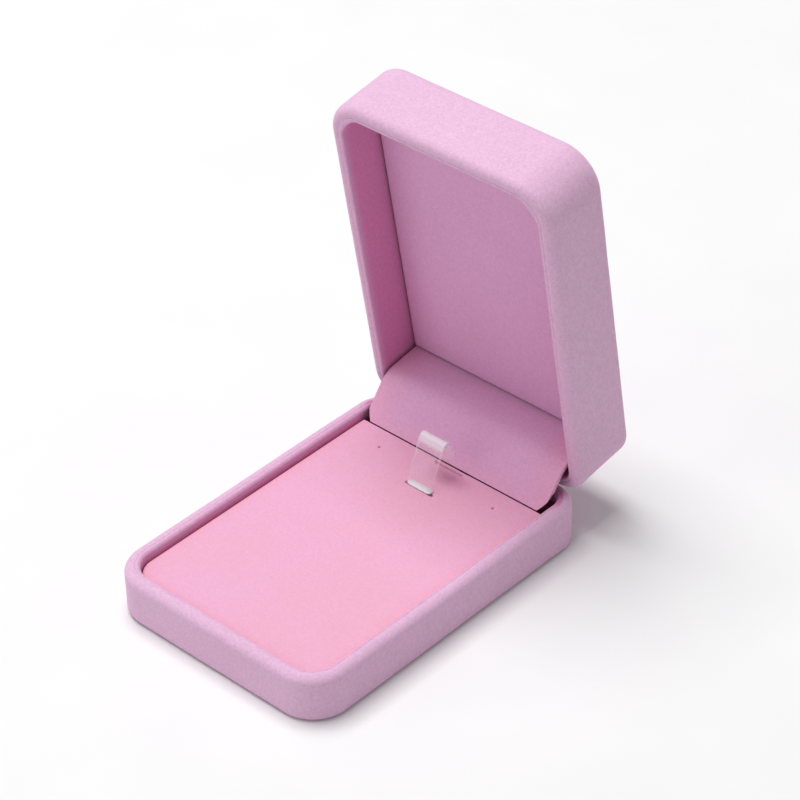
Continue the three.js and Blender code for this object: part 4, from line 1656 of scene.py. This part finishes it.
@dataclass
class HingeCover:
    """The velvet strip that hides the hinge, from the lid's panel over to the pad.

    Its upper leg is held by the lid and its lower leg is the flap. Both legs are cut from
    one strip of velvet, so the strip bends in a soft roll at the crease between them.

    Attributes:
        sizes: the box's shared sizes.
        half_width: half of its width.
        board_half: half the width of the boards behind it.
        board_depth: how far their backs are behind its face.
        upper_end: height of its upper end over the base's underside, while shut.
        flap_length: length of the flap's board from the crease.
        tuck: how far the velvet goes past it.
        target: the place in the Y-Z plane that the open flap points to, by the pad's edge.
        roll: how far the soft roll reaches along both legs together.
        blend_reach: how far from the crease the bend is shared between lid and flap; not used.
        cloth: thickness of the velvet.
        corner: rounding of the flap's lower corners.
        edge: rounding of the face's edges.
        tray_corner: radius of the tray's rear corners, less a little room.
        tray_middle: their centres' distance from the middle.
        end_ahead: how far the shut flap's end is behind those centres.
        lean: how far the shut flap leans back, in degrees.
    """

    sizes: BoxSizes
    half_width: float = 27.95 * MM
    board_half: float = 27.7 * MM
    board_depth: float = 1.14 * MM
    upper_end: float = 24.95 * MM
    flap_length: float = 12.07 * MM
    tuck: float = 0.22 * MM
    target: tuple[float, float] = (35.25 * MM, 10.2 * MM)
    roll: float = 6.24 * MM
    blend_reach: float = 0.9 * MM
    cloth: float = 0.4 * MM
    corner: float = 0.9 * MM
    edge: float = 0.12 * MM
    tray_corner: float = 7.3 * MM
    tray_middle: float = 22.8 * MM
    end_ahead: float = 6.51 * MM
    lean: float = 27.3

    def legs(self) -> tuple[Array, Array, Array]:
        """The crease and the two legs in the Y-Z plane, while the lid is open.

        Returns:
            The crease's place, and the directions along the upper leg and along the flap.
        """
        crease = np.array(self.sizes.crease)
        upper = np.array([math.sin(self.sizes.opening), math.cos(self.sizes.opening)])
        toward = np.array(self.target) - crease
        return crease, upper, toward / np.linalg.norm(toward)

    def room(self, from_end: Array, depth: Array | float) -> Array:
        """Half of the width that the tray's rounded rear corners leave when the box is shut.

        The shut flap leans back, so a place nearer its end, or deeper, stands further into
        the corner: room = middle + sqrt(corner^2 - ahead^2).

        Args:
            from_end: distance from the flap's end, along it.
            depth: distance behind its face.

        Returns:
            The half width at each place.
        """
        lean = math.radians(self.lean)
        ahead = self.end_ahead - math.sin(lean) * from_end + math.cos(lean) * depth
        ahead = np.maximum(ahead, 0)
        return self.tray_middle + np.sqrt(np.maximum(self.tray_corner**2 - ahead**2, 0))

    def path(self) -> tuple[Array, Array]:
        """The strip's face in the Y-Z plane, from its upper end down, and its length.

        Two straight legs joined by a quadratic curve that leaves each leg at the roll's
        tangent point: place = (1-t)^2 first + 2t(1-t) crease + t^2 second.

        Returns:
            The places, (points, 2), and the length of the strip up to each.
        """
        crease, upper, lower = self.legs()
        first, second = crease + upper * self.roll / 2, crease + lower * self.roll / 2
        t = np.linspace(0, 1, 17)[:, None]
        bend = (1 - t) ** 2 * first + 2 * t * (1 - t) * crease + t**2 * second
        start = crease + upper * (self.upper_end - self.sizes.axis_z)
        share = np.linspace(0, 1, 15)[:-1, None]
        top = start * (1 - share) + first * share
        end = crease + lower * (self.flap_length + self.tuck)
        share = np.concatenate([np.linspace(0, 0.95, 32)[1:], np.linspace(0.955, 1, 12)])[:, None]
        bottom = second * (1 - share) + end * share
        line = np.concatenate([top, bend, bottom])
        length = np.concatenate([[0], np.cumsum(np.linalg.norm(np.diff(line, axis=0), axis=1))])
        return line, length

    def across(self) -> Array:
        """Places across the strip, gathered at both edges as the steps of a quarter circle.

        Returns:
            Shares of the half width, from -1 to 1.
        """
        border = 0.45 * MM * (1 - np.sin(np.radians(np.linspace(0, 90, 8)))) / self.half_width
        middle = np.linspace(-0.99, 0.99, 91)
        return np.unique(np.round(np.concatenate([middle, 1 - border, border - 1]), 6))

    def surface(self) -> tuple[Array, Array, Array]:
        """The strip's face and back as grids: along its path by across its width.

        The face rolls back by a quarter circle at its two sides and its lower end, and past
        the boards' edges the cloth is as deep as they are, as if folded round them. Its half
        width is less across the lower end's rounded corners, and no more than the tray
        leaves.

        Returns:
            The face and the back, (rows, columns, 3), and the face's shade.
        """
        line, length = self.path()
        total = length[-1]
        ahead = np.gradient(line, length, axis=0)
        ahead /= np.linalg.norm(ahead, axis=1, keepdims=True)
        out = np.stack([ahead[:, 1], -ahead[:, 0]], axis=1)[:, None, :]
        from_end = (total - length)[:, None]
        into_corner = np.clip(self.corner - from_end, 0, self.corner)
        half = self.half_width - rolled_off(into_corner, self.corner)
        half = np.minimum(half, self.room(from_end, 0.0))
        x = self.across()[None] * half
        inside = np.minimum(half - np.abs(x), from_end)
        drop = rolled_off(np.clip(self.edge - inside, 0, self.edge), self.edge) * 0.9
        along = np.broadcast_to(length[:, None], x.shape)
        wave = ripple(x, along * 1.4, 27 * MM, 1.9) * 0.07 * MM
        lift = wave * smooth_step(inside, 0, 3 * MM) - 0.03 * MM - drop
        past_side = np.abs(x) > self.board_half + 0.02 * MM
        past_end = from_end < self.tuck - 0.06 * MM
        clear = np.abs(x) < self.room(from_end, self.board_depth)
        depth = np.where((past_side | past_end) & clear, self.board_depth, self.cloth)
        back_x = x * np.minimum(self.room(from_end, self.cloth) / half, 1)
        face = np.concatenate([x[..., None], line[:, None] + lift[..., None] * out], axis=-1)
        back = np.concatenate([back_x[..., None], line[:, None] - depth[..., None] * out], axis=-1)
        # Painted shade: pinker and darker towards the strip's sides, by the tray's corners, and
        # towards its lower end at the pad.
        side_shade = smooth_step(np.abs(x), 17 * MM, 27 * MM) * 0.8
        end_shade = smooth_step(along, total * 0.8, total) * 0.6
        return face, back, np.maximum(side_shade, end_shade)

    def build(self) -> bpy.types.Object:
        """Builds the strip in its open pose, and finishes it.

        Returns:
            The piece.
        """
        face, back, shade = self.surface()
        piece = make_slab("hinge_cover_velvet", face, back)
        set_shade(piece, "lining_and_shade", np.concatenate([shade.ravel(), shade.ravel()]))
        piece.data.materials.append(STRIP_VELVET.material())
        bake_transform(piece)
        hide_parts("hinge_cover_fabric", "flap_fabric")
        log.info("%s: %d faces, between lid and flap", piece.name, len(piece.data.polygons))
        return piece


@dataclass
class HiddenParts:
    """The CAD nodes that stay as they are, each given a proper finish.

    Attributes:
        plastic: the moulded trays.
        card: the stiffening boards.
        foam: the blocks under the pad and the panel.
        steel: the hinge and its rivets.
    """

    plastic: tuple = ("base_shell", "lid_shell")
    card: tuple = (
        "base_wall_board", "lid_wall_board", "pad_board", "lid_panel_board",
        "hinge_cover_board", "flap_board",
    )
    foam: tuple = ("pad_foam", "pad_support", "lid_panel_foam")
    steel: tuple = (
        "hinge_leaf_base", "hinge_leaf_lid", "hinge_pin", "hinge_spring",
        "base_rivet_left", "base_rivet_right", "lid_rivet_left", "lid_rivet_right",
    )

    def finish(self, nodes: dict) -> None:
        """Replaces the material of every node in each group.

        Args:
            nodes: the frame's objects by node name.
        """
        groups = (
            (self.plastic, MouldedPlastic().material()),
            (self.card, Card().material()),
            (self.foam, Foam().material()),
            (self.steel, BrushedSteel().material()),
        )
        for names, finish in groups:
            for name in names:
                for slot in nodes[name].material_slots:
                    slot.material = finish
                log.info("%s: %s", name, finish.name)


# --------------------------------------------------------------------------------- set


@dataclass
class Studio:
    """The floor, the lights and the camera.

    Attributes:
        azimuth: how far the camera stands to the right of the front, in degrees.
        elevation: how far above the floor it stands, in degrees.
        roll: how far it is tilted about its own axis, in degrees.
        aim: the camera's shift right and up from the middle of the box's foot.
        distance: how far it stands back.
        lens: its focal length in millimetres.
        sky: brightness of the sky.
        overhead: power of the light overhead, in watts.
        front_fill: power of the one in front.
        rear_fill: power of the one behind.
        floor_flat: how far out the floor stays flat.
        floor_reach: how far out it ends.
        floor_rise: how steeply it rises, as the height that it tends to.
    """

    azimuth: float = 43.02
    elevation: float = 36.48
    roll: float = -1.16
    aim: tuple = (11.545 * MM, 39.615 * MM)
    distance: float = 732.31 * MM
    lens: float = 142.7
    sky: float = 0.36
    overhead: float = 17.2
    front_fill: float = 2.0
    rear_fill: float = 0.5
    floor_flat: float = 1.6
    floor_reach: float = 4.2
    floor_rise: float = 1.1

    def build_floor(self) -> None:
        """A wide pale bowl: rings that lie flat round the box and rise smoothly far away."""
        turn = np.arange(96) / 96 * 2 * math.pi
        flat = np.linspace(0.05, self.floor_flat, 12)
        sloped = np.linspace(self.floor_flat + 0.15, self.floor_reach, 18)
        reach = np.concatenate([flat, sloped])
        rise = self.floor_rise * smooth_step(reach, self.floor_flat, self.floor_reach + 0.4)
        x = reach[:, None] * np.cos(turn)[None]
        y = reach[:, None] * np.sin(turn)[None]
        z = np.broadcast_to(rise[:, None], x.shape)
        grid = np.stack([x, y, z], axis=-1)
        rows, columns = grid.shape[:2]
        faces = [quads(rows, columns, wrap_columns=True)]
        faces.append(fan(np.arange(columns), rows * columns))
        points = np.concatenate([grid.reshape(-1, 3), [[0, 0, 0]]])
        floor = make_piece("pale_floor", points, faces)
        floor.data.materials.append(Paper().material())

    def build_lights(self) -> None:
        """An even pale sky, a wide soft light overhead, and weak ones in front and behind."""
        world = bpy.data.worlds.new("soft_sky")
        world.use_nodes = True
        background = world.node_tree.nodes["Background"]
        background.inputs["Color"].default_value = (1, 1, 1, 1)
        background.inputs["Strength"].default_value = self.sky
        bpy.context.scene.world = world
        self.lamp("overhead", (-0.308, 0.014, 1.4), 0.84, self.overhead)
        self.lamp("front_fill", (-0.55, -1.0, 0.45), 0.8, self.front_fill)
        self.lamp("rear_fill", (1.0, 0.75, 0.7), 0.8, self.rear_fill)

    def lamp(self, name: str, place: tuple, size: float, power: float) -> None:
        """A square soft light that looks at the box.

        Args:
            name: the light's name.
            place: where it stands, in metres.
            size: its side, in metres.
            power: its power, in watts.
        """
        light = bpy.data.lights.new(name, "AREA")
        light.size = size
        light.energy = power
        lamp = bpy.data.objects.new(name, light)
        lamp.location = place
        lamp.rotation_euler = (-Vector(place)).to_track_quat("-Z", "Y").to_euler()
        bpy.context.scene.collection.objects.link(lamp)

    def build_camera(self) -> None:
        """A long lens, turned by azimuth, elevation and a small roll."""
        azimuth, elevation = math.radians(self.azimuth), math.radians(self.elevation)
        roll = math.radians(self.roll)
        flat = math.cos(elevation)
        back = Vector((math.sin(azimuth) * flat, -math.cos(azimuth) * flat, math.sin(elevation)))
        right = Vector((math.cos(azimuth), math.sin(azimuth), 0))
        up = back.cross(right)
        side = right * math.cos(roll) + up * math.sin(roll)
        over = up * math.cos(roll) - right * math.sin(roll)
        place = side * self.aim[0] + over * self.aim[1] + back * self.distance
        camera = bpy.data.cameras.new("camera")
        camera.lens = self.lens
        camera.sensor_width = 36
        camera.clip_start = 0.01
        holder = bpy.data.objects.new("camera", camera)
        axes = Matrix((side, over, back)).transposed().to_4x4()
        holder.matrix_world = Matrix.Translation(place) @ axes
        bpy.context.scene.collection.objects.link(holder)
        bpy.context.scene.camera = holder

    def build(self) -> None:
        """Sets the floor, the lights, the camera and the plain colour view."""
        self.build_floor()
        self.build_lights()
        self.build_camera()
        bpy.context.scene.view_settings.view_transform = "Standard"


def main() -> None:
    """Builds the box round its frame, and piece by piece."""
    logging.basicConfig(level=logging.INFO, format="%(name)s %(message)s")
    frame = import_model()
    sizes = sizes_from_frame(frame)
    log.info("rim %.2f mm, lid top %.2f mm", sizes.base_rim / MM, sizes.lid_top / MM)
    Studio().build()
    Base(sizes).build()
    Lid(sizes).build()
    HingeCover(sizes).build()
    HiddenParts().finish(frame["nodes"])
    bpy.context.view_layer.update()


if __name__ == "__main__":
    main()
